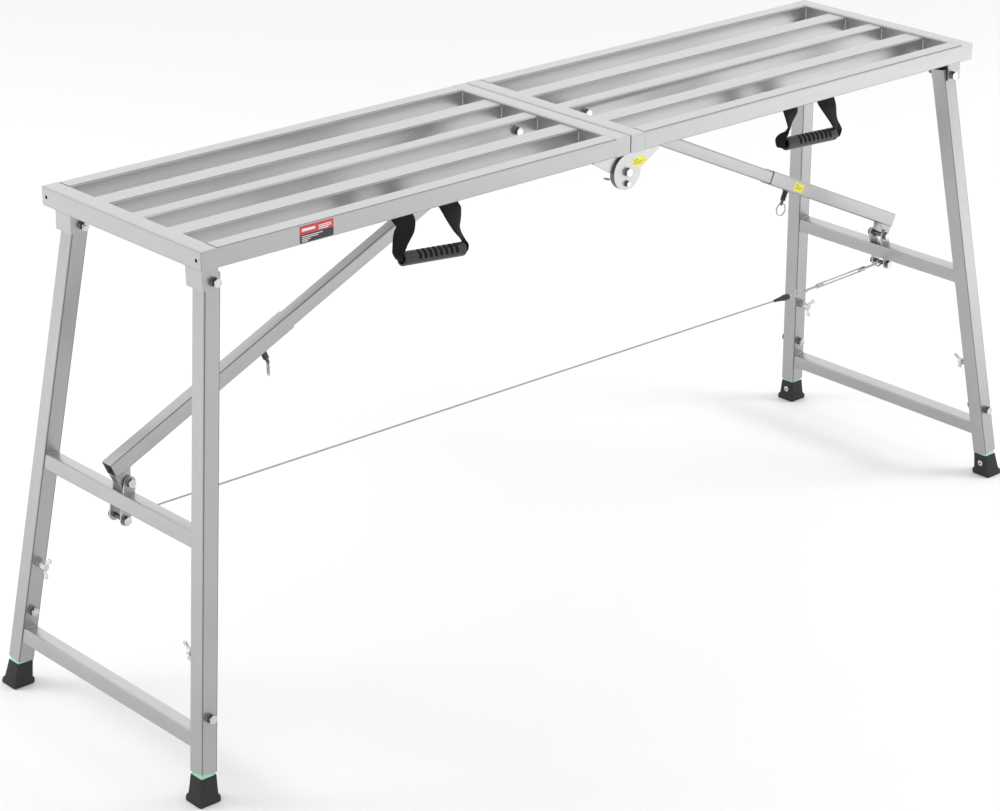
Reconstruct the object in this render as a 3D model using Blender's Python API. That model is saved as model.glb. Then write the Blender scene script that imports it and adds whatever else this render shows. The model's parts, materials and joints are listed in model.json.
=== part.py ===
"""Folding work platform (sawhorse bench) of welded square steel tube.

Frame: metres, +Z up, +X along the deck, -Y is the front with the carrying handles.
The origin is on the floor under the middle of the deck. Heights below the deck's top
face are written as negative numbers and lifted by DECK_TOP when a mesh is made.
"""
import math

import bmesh
import bpy
from mathutils import Vector

# ---- driving dimensions -------------------------------------------------------------
DECK_TOP = 0.815
HALF_LENGTH = 0.825
HALF_WIDTH = 0.195
FRAME_TUBE = 0.030
FRAME_WALL = 0.0015
SEAM = 0.001                      # half the slit between the two deck halves
GAP = 0.0003                      # between pieces that butt or lie face to face
CORNER = 0.0025                   # outside corner radius of the square tubes
CORNER_STEPS = 2
ROUND = 12                        # sides of the bolts and their holes

SLAT_DEPTH = 0.027
SLAT_DROP = 0.003                 # slat tops lie this far below the rails' tops
OUTER_SLAT_Y = 0.090
OUTER_SLAT_WIDTH = 0.040
CHANNEL_WIDTH = 0.030
CHANNEL_WALL = 0.0017
VENT_RADIUS = 0.003
VENT_Y = 0.184

HINGE_Z = -0.061
HINGE_DISC = 0.029
HINGE_WING = 0.0685
PLATE_FRONT_Y = 0.189             # outer face of the right half's hinge plates
PLATE_THICK = 0.0045
LOCK_DROP = 0.019                 # lock bolt below the hinge bolt
SLOT_HALF = 0.0045
FOLD_DECK = 90.0

LEG = 0.029
LEG_WALL = 0.0015
LEG_PIVOT = Vector((0.792, 0.161, -0.055))
LEG_LEAN = Vector((0.092, 0.0762, -0.703)).normalized()
LEG_TOP = 0.010                   # leg above its pivot
LEG_END = 0.7255                  # leg below its pivot, along the leg
INNER_LEG = 0.0252
INNER_TOP = 0.430
INNER_END = 0.752
SHOE_TOP_Z = -0.775
FLOOR_Z = -DECK_TOP

BRACKET_HALF_GAP = 0.0166
BRACKET_WALL = 0.0025
BRACKET_OUT_X = 0.8135
BRACKET_IN_X = 0.784
BRACKET_FOOT_Z = -0.065
BRACKET_TILT = 0.053              # sideways lean of the flanges, about 3 degrees

CROSSBAR = 0.025
CROSSBAR_WALL = 0.0015
UPPER_BAR_Z = -0.431
LOWER_BAR_Z = -0.725
LUG_RISE = 0.0293                 # brace bolt above the upper crossbar's middle
CABLE_DROP = 0.029
CABLE_IN = -0.003
TAB_IN = 0.0123                   # inner face of the crossbar's two tabs
TAB_THICK = 0.003

BRACE_TOP = Vector((0.075, 0.0, -0.019))
BRACE_ANGLE = math.radians(24.602)
SLEEVE = 0.025
SLEEVE_WALL = 0.0012
SLEEVE_START = 0.5004
SLEEVE_END = 0.8656
SLIDER = 0.022
SLIDER_START = -0.0085
SLIDER_END = 0.580
LUG_ALONG = 0.8523
LUG_DEPTH = 0.031
PIN_ALONG = 0.5594
PIN_HOLE = 0.0034

BOLT = 0.004
HEAD = 0.0075
HEAD_THICK = 0.008
BOLT_HOLE = 0.0043
WING_ALONG = 0.553                # leg wing bolt below the leg pivot
WING_BOLT = 0.004
WING_SPAN = 0.0165

HANDLES = (                       # side, strap middle x, grip middle x, grip z, grip slope
    ("left", -0.404, -0.394, -0.1065, 0.095),
    ("right", 0.4245, 0.431, -0.0965, 0.052),
)
HANDLE_Y = 0.180
HANDLE_HINGE_Z = -0.0335
GRIP_HALF = 0.060
GRIP_RADIUS = 0.0108
GRIP_BORE = 0.0078
STRAP_THICK = 0.0024

CABLE_RADIUS = 0.0014
CABLE_HOOK = Vector((0.636, 0.0, -0.4660))
TURNBUCKLE_RADIUS = 0.0045

SIDES = (("left", -1), ("right", 1))
ENDS = (("front", -1), ("rear", 1))

STEEL = ("galvanised steel", (0.62, 0.63, 0.64), 0.42, 0.85)
ZINC = ("zinc plated steel", (0.72, 0.72, 0.70), 0.25, 1.0)
GREEN = ("green painted steel", (0.25, 0.72, 0.48), 0.40, 0.2)
RUBBER = ("black rubber", (0.02, 0.02, 0.02), 0.70, 0.0)
WEBBING = ("black webbing", (0.015, 0.015, 0.016), 0.85, 0.0)
PLASTIC = ("black plastic", (0.03, 0.03, 0.03), 0.40, 0.0)
ROPE = ("steel cable", (0.60, 0.60, 0.60), 0.35, 1.0)


# ---- small tools --------------------------------------------------------------------
def material(finish):
    """The Principled material of a finish, made once."""
    name, colour, roughness, metallic = finish
    found = bpy.data.materials.get(name)
    if found:
        return found
    made = bpy.data.materials.new(name)
    made.use_nodes = True
    shader = made.node_tree.nodes["Principled BSDF"]
    shader.inputs["Base Color"].default_value = (*colour, 1.0)
    shader.inputs["Roughness"].default_value = roughness
    shader.inputs["Metallic"].default_value = metallic
    return made


def pivot(name, place, parent=None):
    """An empty on a joint's axis; place is measured from the deck's top face."""
    empty = bpy.data.objects.new(name, None)
    bpy.context.collection.objects.link(empty)
    world = Vector(place) + Vector((0.0, 0.0, DECK_TOP))
    empty["place"] = list(world)
    if parent is not None:
        world = world - Vector(parent["place"])
        empty.parent = parent
    empty.location = world
    return empty


def loft(rings, closed=False):
    """A bmesh through rings of equal point count, capped, or closed into a torus."""
    mesh = bmesh.new()
    loops = [[mesh.verts.new(point) for point in ring] for ring in rings]
    pairs = list(zip(loops, loops[1:]))
    if closed:
        pairs.append((loops[-1], loops[0]))
    count = len(loops[0])
    for lower, upper in pairs:
        for index in range(count):
            after = (index + 1) % count
            mesh.faces.new((lower[index], lower[after], upper[after], upper[index]))
    if not closed:
        mesh.faces.new(loops[0])
        mesh.faces.new(loops[-1])
    bmesh.ops.recalc_face_normals(mesh, faces=mesh.faces)
    return mesh


def mesh_object(name, mesh, holder):
    """A bmesh as an object carried by a holder."""
    data = bpy.data.meshes.new(name)
    shift = Vector((0.0, 0.0, DECK_TOP)) - Vector(holder["place"])
    bmesh.ops.translate(mesh, verts=mesh.verts, vec=shift)
    mesh.to_mesh(data)
    mesh.free()
    made = bpy.data.objects.new(name, data)
    bpy.context.collection.objects.link(made)
    made.parent = holder
    return made


def piece(name, mesh, finish, holder, cuts=(), joins=()):
    """One named object from a bmesh; cuts are removed from it and joins are added."""
    body = mesh_object(name, mesh, holder)
    body.data.shade_smooth()
    body.data.set_sharp_from_angle(angle=math.radians(35.0))
    body.data.materials.append(material(finish))
    for kind, tools in (("UNION", joins), ("DIFFERENCE", cuts)):
        for index, tool in enumerate(tools):
            cutter = guide(f"{name}_{kind.lower()}_{index}", tool, holder)
            modifier = body.modifiers.new(cutter.name, "BOOLEAN")
            modifier.operation = kind
            modifier.solver = "EXACT"
            modifier.object = cutter
    return body


def guide(name, mesh, holder):
    """A hidden shape that a Boolean adds or removes."""
    shape = mesh_object(name, mesh, holder)
    shape.hide_render = True
    shape.display_type = "WIRE"
    return shape


def square(centre, u, v, half, corner=CORNER):
    """Points round a square section with rounded corners."""
    points = []
    for turn, (side_u, side_v) in enumerate(((1, 1), (-1, 1), (-1, -1), (1, -1))):
        for step in range(CORNER_STEPS + 1):
            angle = math.radians(90.0 * (turn + step / CORNER_STEPS))
            along = side_u * (half - corner) + corner * math.cos(angle)
            across = side_v * (half - corner) + corner * math.sin(angle)
            points.append(centre + u * along + v * across)
    return points


def circle(centre, u, v, radius, count=ROUND, hexagon=False):
    """Points round a circle, or round a hexagon whose corners are at radius."""
    points = []
    for index in range(count):
        angle = 2.0 * math.pi * index / count
        reach = radius
        if hexagon and index % 2:
            reach = radius * math.cos(math.pi / 6.0)
        points.append(centre + u * (reach * math.cos(angle)) + v * (reach * math.sin(angle)))
    return points


def frame_of(axis):
    """Two unit vectors square to an axis."""
    axis = Vector(axis).normalized()
    helper = Vector((0, 0, 1)) if abs(axis.z) < 0.9 else Vector((1, 0, 0))
    u = axis.cross(helper).normalized()
    return u, axis.cross(u).normalized()


def hollow(start, end, u, v, size, wall):
    """A square tube with open ends."""
    inner = size / 2 - wall
    inner_corner = max(CORNER - wall, 0.0006)
    rings = [
        square(start, u, v, size / 2),
        square(end, u, v, size / 2),
        square(end, u, v, inner, inner_corner),
        square(start, u, v, inner, inner_corner),
    ]
    return loft(rings, closed=True)


def solid(start, end, u, v, size, corner=CORNER):
    """A square bar with rounded corners."""
    return loft([square(start, u, v, size / 2, corner), square(end, u, v, size / 2, corner)])


def rod(start, end, radius, count=ROUND):
    """A round bar."""
    u, v = frame_of(end - start)
    return loft([circle(start, u, v, radius, count), circle(end, u, v, radius, count)])


def turned(start, axis, profile):
    """Round and hexagonal steps along an axis: (distance, radius, is hexagon)."""
    axis = Vector(axis).normalized()
    u, v = frame_of(axis)
    return loft([circle(start + axis * t, u, v, r, ROUND, h) for t, r, h in profile])


def plate(outline, y_near, y_far):
    """A flat plate: an XZ outline extruded along Y."""
    rings = [[Vector((x, y, z)) for x, z in outline] for y in (y_near, y_far)]
    return loft(rings)


# ---- deck ---------------------------------------------------------------------------
def cross_tube(name, side, x_low, x_high, holder, joins=(), extra_cuts=(), vent_out=True):
    """A tube across the deck with closed ends and small vent holes."""
    middle_x = side * (x_low + x_high) / 2
    z = -FRAME_TUBE / 2
    near = Vector((middle_x, -HALF_WIDTH, z))
    far = Vector((middle_x, HALF_WIDTH, z))
    x_axis = Vector((1, 0, 0))
    z_axis = Vector((0, 0, 1))
    inset = Vector((0, FRAME_WALL, 0))
    inner_size = FRAME_TUBE - 2 * FRAME_WALL
    cavity = solid(near + inset, far - inset, x_axis, z_axis, inner_size, CORNER - FRAME_WALL)
    cuts = [cavity]
    for end in (-1, 1):
        face = Vector((middle_x, end * VENT_Y, z))
        if vent_out:
            reach = Vector((side * FRAME_TUBE, 0, 0))
        else:
            reach = Vector((0, 0, -FRAME_TUBE))
        cuts.append(rod(face, face + reach, VENT_RADIUS, 8))
    cuts.extend(extra_cuts)
    shell = solid(near, far, x_axis, z_axis, FRAME_TUBE)
    return piece(name, shell, STEEL, holder, cuts, joins)


def leg_bracket(side, end):
    """The U channel under a deck corner that holds the leg's pivot bolt."""
    pivot_y = LEG_PIVOT.y
    outer = BRACKET_HALF_GAP + BRACKET_WALL
    x_out = BRACKET_OUT_X
    x_web = BRACKET_OUT_X - BRACKET_WALL
    x_weld = HALF_LENGTH - FRAME_TUBE + GAP
    under = -FRAME_TUBE - GAP
    rings = []
    for z, x_in in ((under + 0.001, x_weld), (under, x_weld), (under - GAP, BRACKET_IN_X),
                    (BRACKET_FOOT_Z, BRACKET_IN_X)):
        outline = [(x_in, -outer), (x_out, -outer), (x_out, outer), (x_in, outer)]
        outline += [(x_in, BRACKET_HALF_GAP), (x_web, BRACKET_HALF_GAP)]
        outline += [(x_web, -BRACKET_HALF_GAP), (x_in, -BRACKET_HALF_GAP)]
        lean = (LEG_PIVOT.z - z) * BRACKET_TILT
        rings.append([Vector((side * x, end * (pivot_y + y + lean), z)) for x, y in outline])
    return loft(rings)


def deck_half(side_name, side, holder):
    """One welded half of the deck: two cross tubes, two rails and three slats."""
    x_seam = SEAM
    x_inner = SEAM + FRAME_TUBE + GAP
    x_outer = HALF_LENGTH - FRAME_TUBE - GAP
    brackets = [leg_bracket(side, end) for _, end in ENDS]
    bolt_x = side * LEG_PIVOT.x
    span = Vector((0, HALF_WIDTH, 0))
    bolt_line = Vector((bolt_x, 0, LEG_PIVOT.z))
    hole = rod(bolt_line - span, bolt_line + span, BOLT_HOLE)
    cross_tube(f"end_tube_{side_name}", side, HALF_LENGTH - FRAME_TUBE, HALF_LENGTH,
               holder, joins=brackets, extra_cuts=[hole])
    cross_tube(f"center_tube_{side_name}", side, x_seam, x_seam + FRAME_TUBE, holder,
               vent_out=False)
    y_axis = Vector((0, 1, 0))
    z_axis = Vector((0, 0, 1))
    for end_name, end in ENDS:
        y = end * (HALF_WIDTH - FRAME_TUBE / 2)
        start = Vector((side * x_inner, y, -FRAME_TUBE / 2))
        stop = Vector((side * x_outer, y, -FRAME_TUBE / 2))
        rail = hollow(start, stop, y_axis, z_axis, FRAME_TUBE, FRAME_WALL)
        piece(f"rail_{side_name}_{end_name}", rail, STEEL, holder)
        slat(f"slat_{side_name}_{end_name}", side, end * OUTER_SLAT_Y, x_inner, x_outer, holder)
    brace_channel(f"brace_channel_{side_name}", side, x_inner, x_outer, holder)


def slat(name, side, y, x_inner, x_outer, holder):
    """A rectangular tread tube, open at its ends, which butt on the cross tubes."""
    wide = OUTER_SLAT_WIDTH / 2
    tall = SLAT_DEPTH / 2
    z = -SLAT_DROP - tall
    rings = []
    for x, inset in ((x_inner, 0.0), (x_outer, 0.0), (x_outer, FRAME_WALL), (x_inner, FRAME_WALL)):
        corner = CORNER - inset
        ring = []
        for turn, (a, b) in enumerate(((1, 1), (-1, 1), (-1, -1), (1, -1))):
            for step in range(CORNER_STEPS + 1):
                angle = math.radians(90.0 * (turn + step / CORNER_STEPS))
                across = a * (wide - inset - corner) + corner * math.cos(angle)
                up = b * (tall - inset - corner) + corner * math.sin(angle)
                ring.append(Vector((side * x, y + across, z + up)))
        rings.append(ring)
    piece(name, loft(rings, closed=True), STEEL, holder)


def brace_channel(name, side, x_inner, x_outer, holder):
    """The middle slat: a channel open below, where the brace lies when folded."""
    out = CHANNEL_WIDTH / 2
    wall = CHANNEL_WALL
    top = -SLAT_DROP
    low = -SLAT_DROP - SLAT_DEPTH
    outline = [(-out, low), (-out, top - 0.002), (-out + 0.002, top), (out - 0.002, top)]
    outline += [(out, top - 0.002), (out, low), (out - wall, low), (out - wall, top - wall)]
    outline += [(-out + wall, top - wall), (-out + wall, low)]
    rings = [[Vector((side * x, y, z)) for y, z in outline] for x in (x_inner, x_outer)]
    top_bolt = Vector((side * BRACE_TOP.x, 0, BRACE_TOP.z))
    across = Vector((0, CHANNEL_WIDTH, 0))
    hole = rod(top_bolt - across, top_bolt + across, BOLT_HOLE)
    piece(name, loft(rings), STEEL, holder, cuts=[hole])


# ---- centre hinge -------------------------------------------------------------------
def hinge_outline(side):
    """A disc round the hinge bolt with a wing up to the rail it is welded under."""
    top = -FRAME_TUBE - GAP
    points = []
    steps = 20
    for index in range(steps + 1):
        angle = math.radians(105.0 + 258.0 * index / steps)
        points.append((side * HINGE_DISC * math.cos(angle), HINGE_Z + HINGE_DISC * math.sin(angle)))
    points.append((side * HINGE_WING, top - 0.0055))
    points.append((side * HINGE_WING, top))
    points.append((side * SEAM, top))
    return points


def arc_slot(end, y_near, y_far):
    """The curved way that the lock bolt takes round the hinge bolt as the deck folds."""
    outline = []
    first = math.radians(270.0 - FOLD_DECK - 14.0)
    last = math.radians(270.0)
    steps = 9
    for radius, order in ((LOCK_DROP + SLOT_HALF, 1), (LOCK_DROP - SLOT_HALF, -1)):
        for index in range(steps + 1)[::order]:
            angle = first + (last - first) * index / steps
            outline.append((radius * math.cos(angle), HINGE_Z + radius * math.sin(angle)))
        if order == 1:
            outline.append((SLOT_HALF, HINGE_Z - LOCK_DROP - SLOT_HALF * 0.5))
            outline.append((SLOT_HALF, HINGE_Z - LOCK_DROP + SLOT_HALF * 0.5))
    return plate(outline, end * y_near, end * y_far)


def hinge_hardware(end_name, end, left_holder, right_holder):
    """Both plates of one hinge, its pivot bolt and the lock bolt with its wing nut."""
    right_out = PLATE_FRONT_Y
    right_in = PLATE_FRONT_Y - PLATE_THICK
    left_out = right_in - GAP
    left_in = left_out - PLATE_THICK
    bolt_line = Vector((0, 0, HINGE_Z))
    lock_line = Vector((0, 0, HINGE_Z - LOCK_DROP))
    reach = Vector((0, end * 0.230, 0))
    for side_name, side, outside, inside, holder in (
        ("right", 1, right_out, right_in, right_holder),
        ("left", -1, left_out, left_in, left_holder),
    ):
        cuts = [rod(bolt_line, bolt_line + reach, BOLT_HOLE)]
        if side == 1:
            cuts.append(rod(lock_line, lock_line + reach, WING_BOLT + GAP))
        else:
            cuts.append(arc_slot(end, outside + 0.01, inside - 0.01))
        body = plate(hinge_outline(side), end * outside, end * inside)
        piece(f"hinge_plate_{side_name}_{end_name}", body, STEEL, holder, cuts)
    outward = Vector((0, end, 0))
    face = right_out + GAP
    back = left_in - GAP
    start = bolt_line + outward * (face + 0.005)
    steps = [(0, HEAD, True), (0.005, HEAD, True), (0.005, BOLT, False)]
    grip = 0.005 + face - back
    steps += [(grip, BOLT, False), (grip, HEAD, True), (grip + 0.007, HEAD, True)]
    piece(f"hinge_pivot_bolt_{end_name}", turned(start, -outward, steps), ZINC, left_holder)
    lock_holder = pivot(f"lock_turn_{end_name}", lock_line + outward * face, right_holder)
    start = lock_line + outward * (face + 0.0045)
    head = HEAD - 0.0012
    grip = 0.0045 + face - back
    steps = [(0, head, True), (0.0045, head, True), (0.0045, WING_BOLT, False)]
    steps += [(grip, WING_BOLT, False), (grip, 0.0066, False), (grip + 0.015, 0.0055, False)]
    wings = wing_plate(lock_line + outward * (back - 0.0125), outward)
    piece(f"hinge_lock_bolt_{end_name}", turned(start, -outward, steps), ZINC, lock_holder,
          joins=[wings])


def wing_plate(centre, axis):
    """The two wings of a wing bolt as one thin plate through its hub."""
    u, v = frame_of(axis)
    axis = Vector(axis).normalized()
    half = 0.0015
    outline = [(-WING_SPAN, 0.001), (-WING_SPAN + 0.002, -0.009), (-0.009, -0.012)]
    outline += [(0.0, -0.004), (0.009, -0.012), (WING_SPAN - 0.002, -0.009)]
    outline += [(WING_SPAN, 0.001), (0.009, 0.004), (-0.009, 0.004)]
    rings = []
    for side in (-half, half):
        rings.append([centre + u * a + axis * b + v * side for a, b in outline])
    return loft(rings)


# ---- legs ---------------------------------------------------------------------------
def leg_axes(side, end):
    """Leg direction, the leg frame's normal and the leg's sideways direction."""
    down = Vector((side * LEG_LEAN.x, end * LEG_LEAN.y, LEG_LEAN.z))
    normal = down.cross(Vector((0, 1, 0))).normalized()
    return down, normal, down.cross(normal).normalized()


def leg_point(side, end, along):
    """A point on a leg's centre line, measured down from its pivot."""
    start = Vector((side * LEG_PIVOT.x, end * LEG_PIVOT.y, LEG_PIVOT.z))
    return start + leg_axes(side, end)[0] * along


def inward(side, end):
    """The leg's sideways direction that points at the other leg."""
    across = leg_axes(side, end)[2]
    return across if across.y * end < 0 else -across


def outer_leg(name, side, end, holder):
    """An outer leg tube with its bolt hole and the welded nut of its wing bolt."""
    down, normal, across = leg_axes(side, end)
    top = leg_point(side, end, -LEG_TOP)
    foot = leg_point(side, end, LEG_END)
    body = hollow(top, foot, normal, across, LEG, LEG_WALL)
    aim = inward(side, end)
    centre = leg_point(side, end, WING_ALONG)
    base = LEG / 2 - 0.0005
    nut = turned(centre, aim, [(base, 0.0078, True), (base + 0.007, 0.0078, True)])
    way = rod(centre + aim * (LEG / 4), centre + aim * LEG, WING_BOLT + GAP)
    bolt = leg_point(side, end, 0.0)
    reach = Vector((0, LEG, 0))
    hole = rod(bolt - reach, bolt + reach, BOLT_HOLE)
    piece(name, body, STEEL, holder, cuts=[hole, way], joins=[nut])


def crossbar(name, side, z, holder, joins=()):
    """A crossbar between the legs, its ends cut to the legs' slope."""
    normal = leg_axes(side, 1)[1]
    up = Vector((0, 1, 0)).cross(normal)
    along = (LEG_PIVOT.z - z) / -LEG_LEAN.z
    x = side * (LEG_PIVOT.x + LEG_LEAN.x * along)
    cos_splay = math.sqrt(1.0 - LEG_LEAN.y ** 2)
    rings = []
    shapes = (
        (-1, CROSSBAR / 2, CORNER), (1, CROSSBAR / 2, CORNER),
        (1, CROSSBAR / 2 - CROSSBAR_WALL, CORNER - CROSSBAR_WALL),
        (-1, CROSSBAR / 2 - CROSSBAR_WALL, CORNER - CROSSBAR_WALL),
    )
    for end, half, corner in shapes:
        ring = square(Vector((x, 0, z)), normal, up, half, corner)
        for point in ring:
            depth = (LEG_PIVOT.z - point.z) / -LEG_LEAN.z
            inner_face = LEG_PIVOT.y + LEG_LEAN.y * depth - (LEG / 2) / cos_splay
            point.y = end * (inner_face - GAP)
        rings.append(ring)
    piece(name, loft(rings, closed=True), STEEL, holder, joins=joins)


def bar_centre(side, z):
    """The middle of a crossbar."""
    along = (LEG_PIVOT.z - z) / -LEG_LEAN.z
    return Vector((side * (LEG_PIVOT.x + LEG_LEAN.x * along), 0, z))


def tabs(side, rise, inset, half_width, low):
    """Two tabs and a pin on the upper crossbar; rise is above the bar's middle."""
    centre = bar_centre(side, UPPER_BAR_Z)
    normal = leg_axes(side, 1)[1]
    if normal.x * side < 0:
        normal = -normal
    up = Vector((-normal.z, 0, normal.x)) * side
    pin_at = centre + up * rise - normal * inset
    way = math.copysign(1.0, rise)
    corners = [(-half_width, low), (half_width, low)]
    steps = 8
    for index in range(steps + 1):
        angle = math.radians(180.0 * index / steps)
        corners.append((half_width * math.cos(angle), rise + way * half_width * math.sin(angle)))
    shapes = []
    for end in (-1, 1):
        rings = []
        for y in (TAB_IN, TAB_IN + TAB_THICK):
            ring = [centre + normal * (a - inset) + up * b for a, b in corners]
            for point in ring:
                point.y = end * y
            rings.append(ring)
        shapes.append(loft(rings))
    return shapes, pin_at


def leg_frame(side_name, side, holder):
    """Two outer legs, two crossbars and the brackets for brace and cable."""
    lift, brace_pin = tabs(side, LUG_RISE, 0.0, 0.010, CROSSBAR / 2 - 0.0005)
    drop, cable_pin = tabs(side, -CABLE_DROP, CABLE_IN, 0.009, -CROSSBAR / 2 + 0.0005)
    out = Vector((0, TAB_IN + TAB_THICK + 0.006, 0))
    pins = [rod(brace_pin - out, brace_pin + out, BOLT)]
    pins.append(rod(cable_pin - out, cable_pin + out, WING_BOLT))
    crossbar(f"crossbar_upper_{side_name}", side, UPPER_BAR_Z, holder, joins=lift + drop + pins)
    crossbar(f"crossbar_lower_{side_name}", side, LOWER_BAR_Z, holder)
    for end_name, end in ENDS:
        outer_leg(f"outer_leg_{side_name}_{end_name}", side, end, holder)
        turn = leg_point(side, end, WING_ALONG) + inward(side, end) * (LEG / 2 + 0.008)
        wing_holder = pivot(f"wing_turn_{side_name}_{end_name}", turn, holder)
        wing_bolt(f"leg_wing_bolt_{side_name}_{end_name}", side, end, wing_holder)
        slide = pivot(f"leg_slide_{side_name}_{end_name}", leg_point(side, end, LEG_END), holder)
        inner_leg(side_name, end_name, side, end, slide)
    return cable_pin


def wing_bolt(name, side, end, holder):
    """The wing bolt that clamps an inner leg inside its outer leg."""
    aim = inward(side, end)
    centre = leg_point(side, end, WING_ALONG)
    tip = INNER_LEG / 2 + 0.0005
    hub = LEG / 2 + 0.0115
    steps = [(tip, WING_BOLT, False), (hub, WING_BOLT, False), (hub, 0.0062, False)]
    steps.append((hub + 0.012, 0.0050, False))
    wings = wing_plate(centre + aim * (hub + 0.008), -aim)
    piece(name, turned(centre, aim, steps), ZINC, holder, joins=[wings])


def inner_leg(side_name, end_name, side, end, holder):
    """The sliding inner leg and the rubber shoe on its end."""
    down, normal, across = leg_axes(side, end)
    top = leg_point(side, end, INNER_TOP)
    foot = leg_point(side, end, INNER_END)
    name = f"inner_leg_{side_name}_{end_name}"
    piece(name, hollow(top, foot, normal, across, INNER_LEG, LEG_WALL), GREEN, holder)
    x_axis = Vector((1, 0, 0))
    y_axis = Vector((0, 1, 0))
    rings = []
    for z, half in ((SHOE_TOP_Z, 0.0142), (FLOOR_Z + 0.012, 0.0168),
                    (FLOOR_Z + 0.009, 0.0192), (FLOOR_Z, 0.0192)):
        along = (LEG_PIVOT.z - z) / -LEG_LEAN.z
        rings.append(square(leg_point(side, end, along), x_axis, y_axis, half))
    socket_top = leg_point(side, end, INNER_END - 0.060)
    socket_end = leg_point(side, end, INNER_END + GAP)
    socket = solid(socket_top, socket_end, normal, across, INNER_LEG + 2 * GAP)
    piece(f"foot_{side_name}_{end_name}", loft(rings), RUBBER, holder, cuts=[socket])


def leg_pivot_bolt(name, side, end, holder):
    """The bolt through a deck bracket and the top of its leg."""
    outward = Vector((0, end, 0))
    half = BRACKET_HALF_GAP + BRACKET_WALL + 0.0008
    start = leg_point(side, end, 0.0) + outward * (half + HEAD_THICK)
    steps = [(0, HEAD, True), (HEAD_THICK, HEAD, True), (HEAD_THICK, BOLT, False)]
    nut = HEAD_THICK + 2 * half
    steps += [(nut, BOLT, False), (nut, HEAD, True), (nut + 0.007, HEAD, True)]
    piece(name, turned(start, -outward, steps), ZINC, holder)


# ---- braces -------------------------------------------------------------------------
def brace_axes(side):
    """Brace direction from its top bolt, and the direction square to it, downward."""
    along = Vector((side * math.cos(BRACE_ANGLE), 0, -math.sin(BRACE_ANGLE)))
    below = Vector((-side * math.sin(BRACE_ANGLE), 0, -math.cos(BRACE_ANGLE)))
    return along, below


def brace_point(side, along, below=0.0):
    """A point of the brace, along it from the top bolt and below its centre line."""
    start = Vector((side * BRACE_TOP.x, 0, BRACE_TOP.z))
    a, b = brace_axes(side)
    return start + a * along + b * below


def lug_outline():
    """The hook over the brace bolt: a roof and an outboard cheek, open inboard."""
    notch = BOLT + 0.0007
    outline = [(LUG_ALONG - 0.014, SLEEVE / 2 - 0.0005), (SLEEVE_END, SLEEVE / 2 - 0.0005)]
    outline += [(SLEEVE_END, LUG_DEPTH + 0.006), (LUG_ALONG + notch, LUG_DEPTH + 0.008)]
    steps = 5
    for index in range(steps + 1):
        angle = math.radians(90.0 * index / steps)
        outline.append((LUG_ALONG + notch * math.cos(angle), LUG_DEPTH - notch * math.sin(angle)))
    outline.append((LUG_ALONG - 0.007, LUG_DEPTH - notch))
    return outline


def brace(side_name, side, deck_holder):
    """The telescoping brace of one end, from the deck channel to the leg frame."""
    along, below = brace_axes(side)
    across = Vector((0, 1, 0))
    swing = pivot(f"brace_swing_{side_name}", brace_point(side, 0), deck_holder)
    slider = hollow(brace_point(side, SLIDER_START), brace_point(side, SLIDER_END),
                    below, across, SLIDER, SLEEVE_WALL)
    reach = Vector((0, CHANNEL_WIDTH, 0))
    top = brace_point(side, 0)
    hole = rod(top - reach, top + reach, BOLT_HOLE)
    piece(f"brace_slider_{side_name}", slider, STEEL, swing, cuts=[hole])
    slide = pivot(f"sleeve_slide_{side_name}", brace_point(side, SLEEVE_END), swing)
    sleeve = hollow(brace_point(side, SLEEVE_START), brace_point(side, SLEEVE_END),
                    below, across, SLEEVE, SLEEVE_WALL)
    plates = []
    for end in (-1, 1):
        rings = []
        for y in (0.0075, 0.0105):
            ring = [brace_point(side, a, b) for a, b in lug_outline()]
            for point in ring:
                point.y = end * y
            rings.append(ring)
        plates.append(loft(rings))
    pin_hole = rod(brace_point(side, PIN_ALONG, 0.004), brace_point(side, PIN_ALONG, 0.016), PIN_HOLE)
    piece(f"brace_sleeve_{side_name}", sleeve, STEEL, slide, cuts=[pin_hole], joins=plates)
    pin_holder = pivot(f"pin_pull_{side_name}", brace_point(side, PIN_ALONG, SLEEVE / 2), slide)
    pull_pin(f"pull_pin_{side_name}", side, pin_holder)
    outward = Vector((0, -1, 0))
    half = CHANNEL_WIDTH / 2 + GAP
    steps = [(0, HEAD, True), (HEAD_THICK, HEAD, True), (HEAD_THICK, BOLT, False)]
    nut = HEAD_THICK + 2 * half
    steps += [(nut, BOLT, False), (nut, HEAD, True), (nut + 0.007, HEAD, True)]
    start = top + outward * (half + HEAD_THICK)
    piece(f"brace_top_bolt_{side_name}", turned(start, -outward, steps), ZINC, deck_holder)


def pull_pin(name, side, holder):
    """The sprung locking pin under the sleeve, with its pull ring."""
    down = brace_axes(side)[1]
    start = brace_point(side, PIN_ALONG)
    steps = [(SLEEVE / 2 - 0.0008, 0.0030, False), (SLEEVE / 2 + GAP, 0.0030, False)]
    steps += [(SLEEVE / 2 + GAP, 0.0050, False), (0.0300, 0.0050, False)]
    steps += [(0.0300, 0.0028, False), (0.0410, 0.0028, False)]
    centre = brace_point(side, PIN_ALONG, 0.0370) + Vector((0, 0, -0.0110))
    ring = []
    count = 16
    for index in range(count):
        angle = 2.0 * math.pi * index / count
        spoke = Vector((math.cos(angle), 0, math.sin(angle)))
        ring.append(circle(centre + spoke * 0.0110, spoke, Vector((0, 1, 0)), 0.0013, 6))
    piece(name, turned(start, down, steps), ZINC, holder, joins=[loft(ring, closed=True)])


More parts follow.
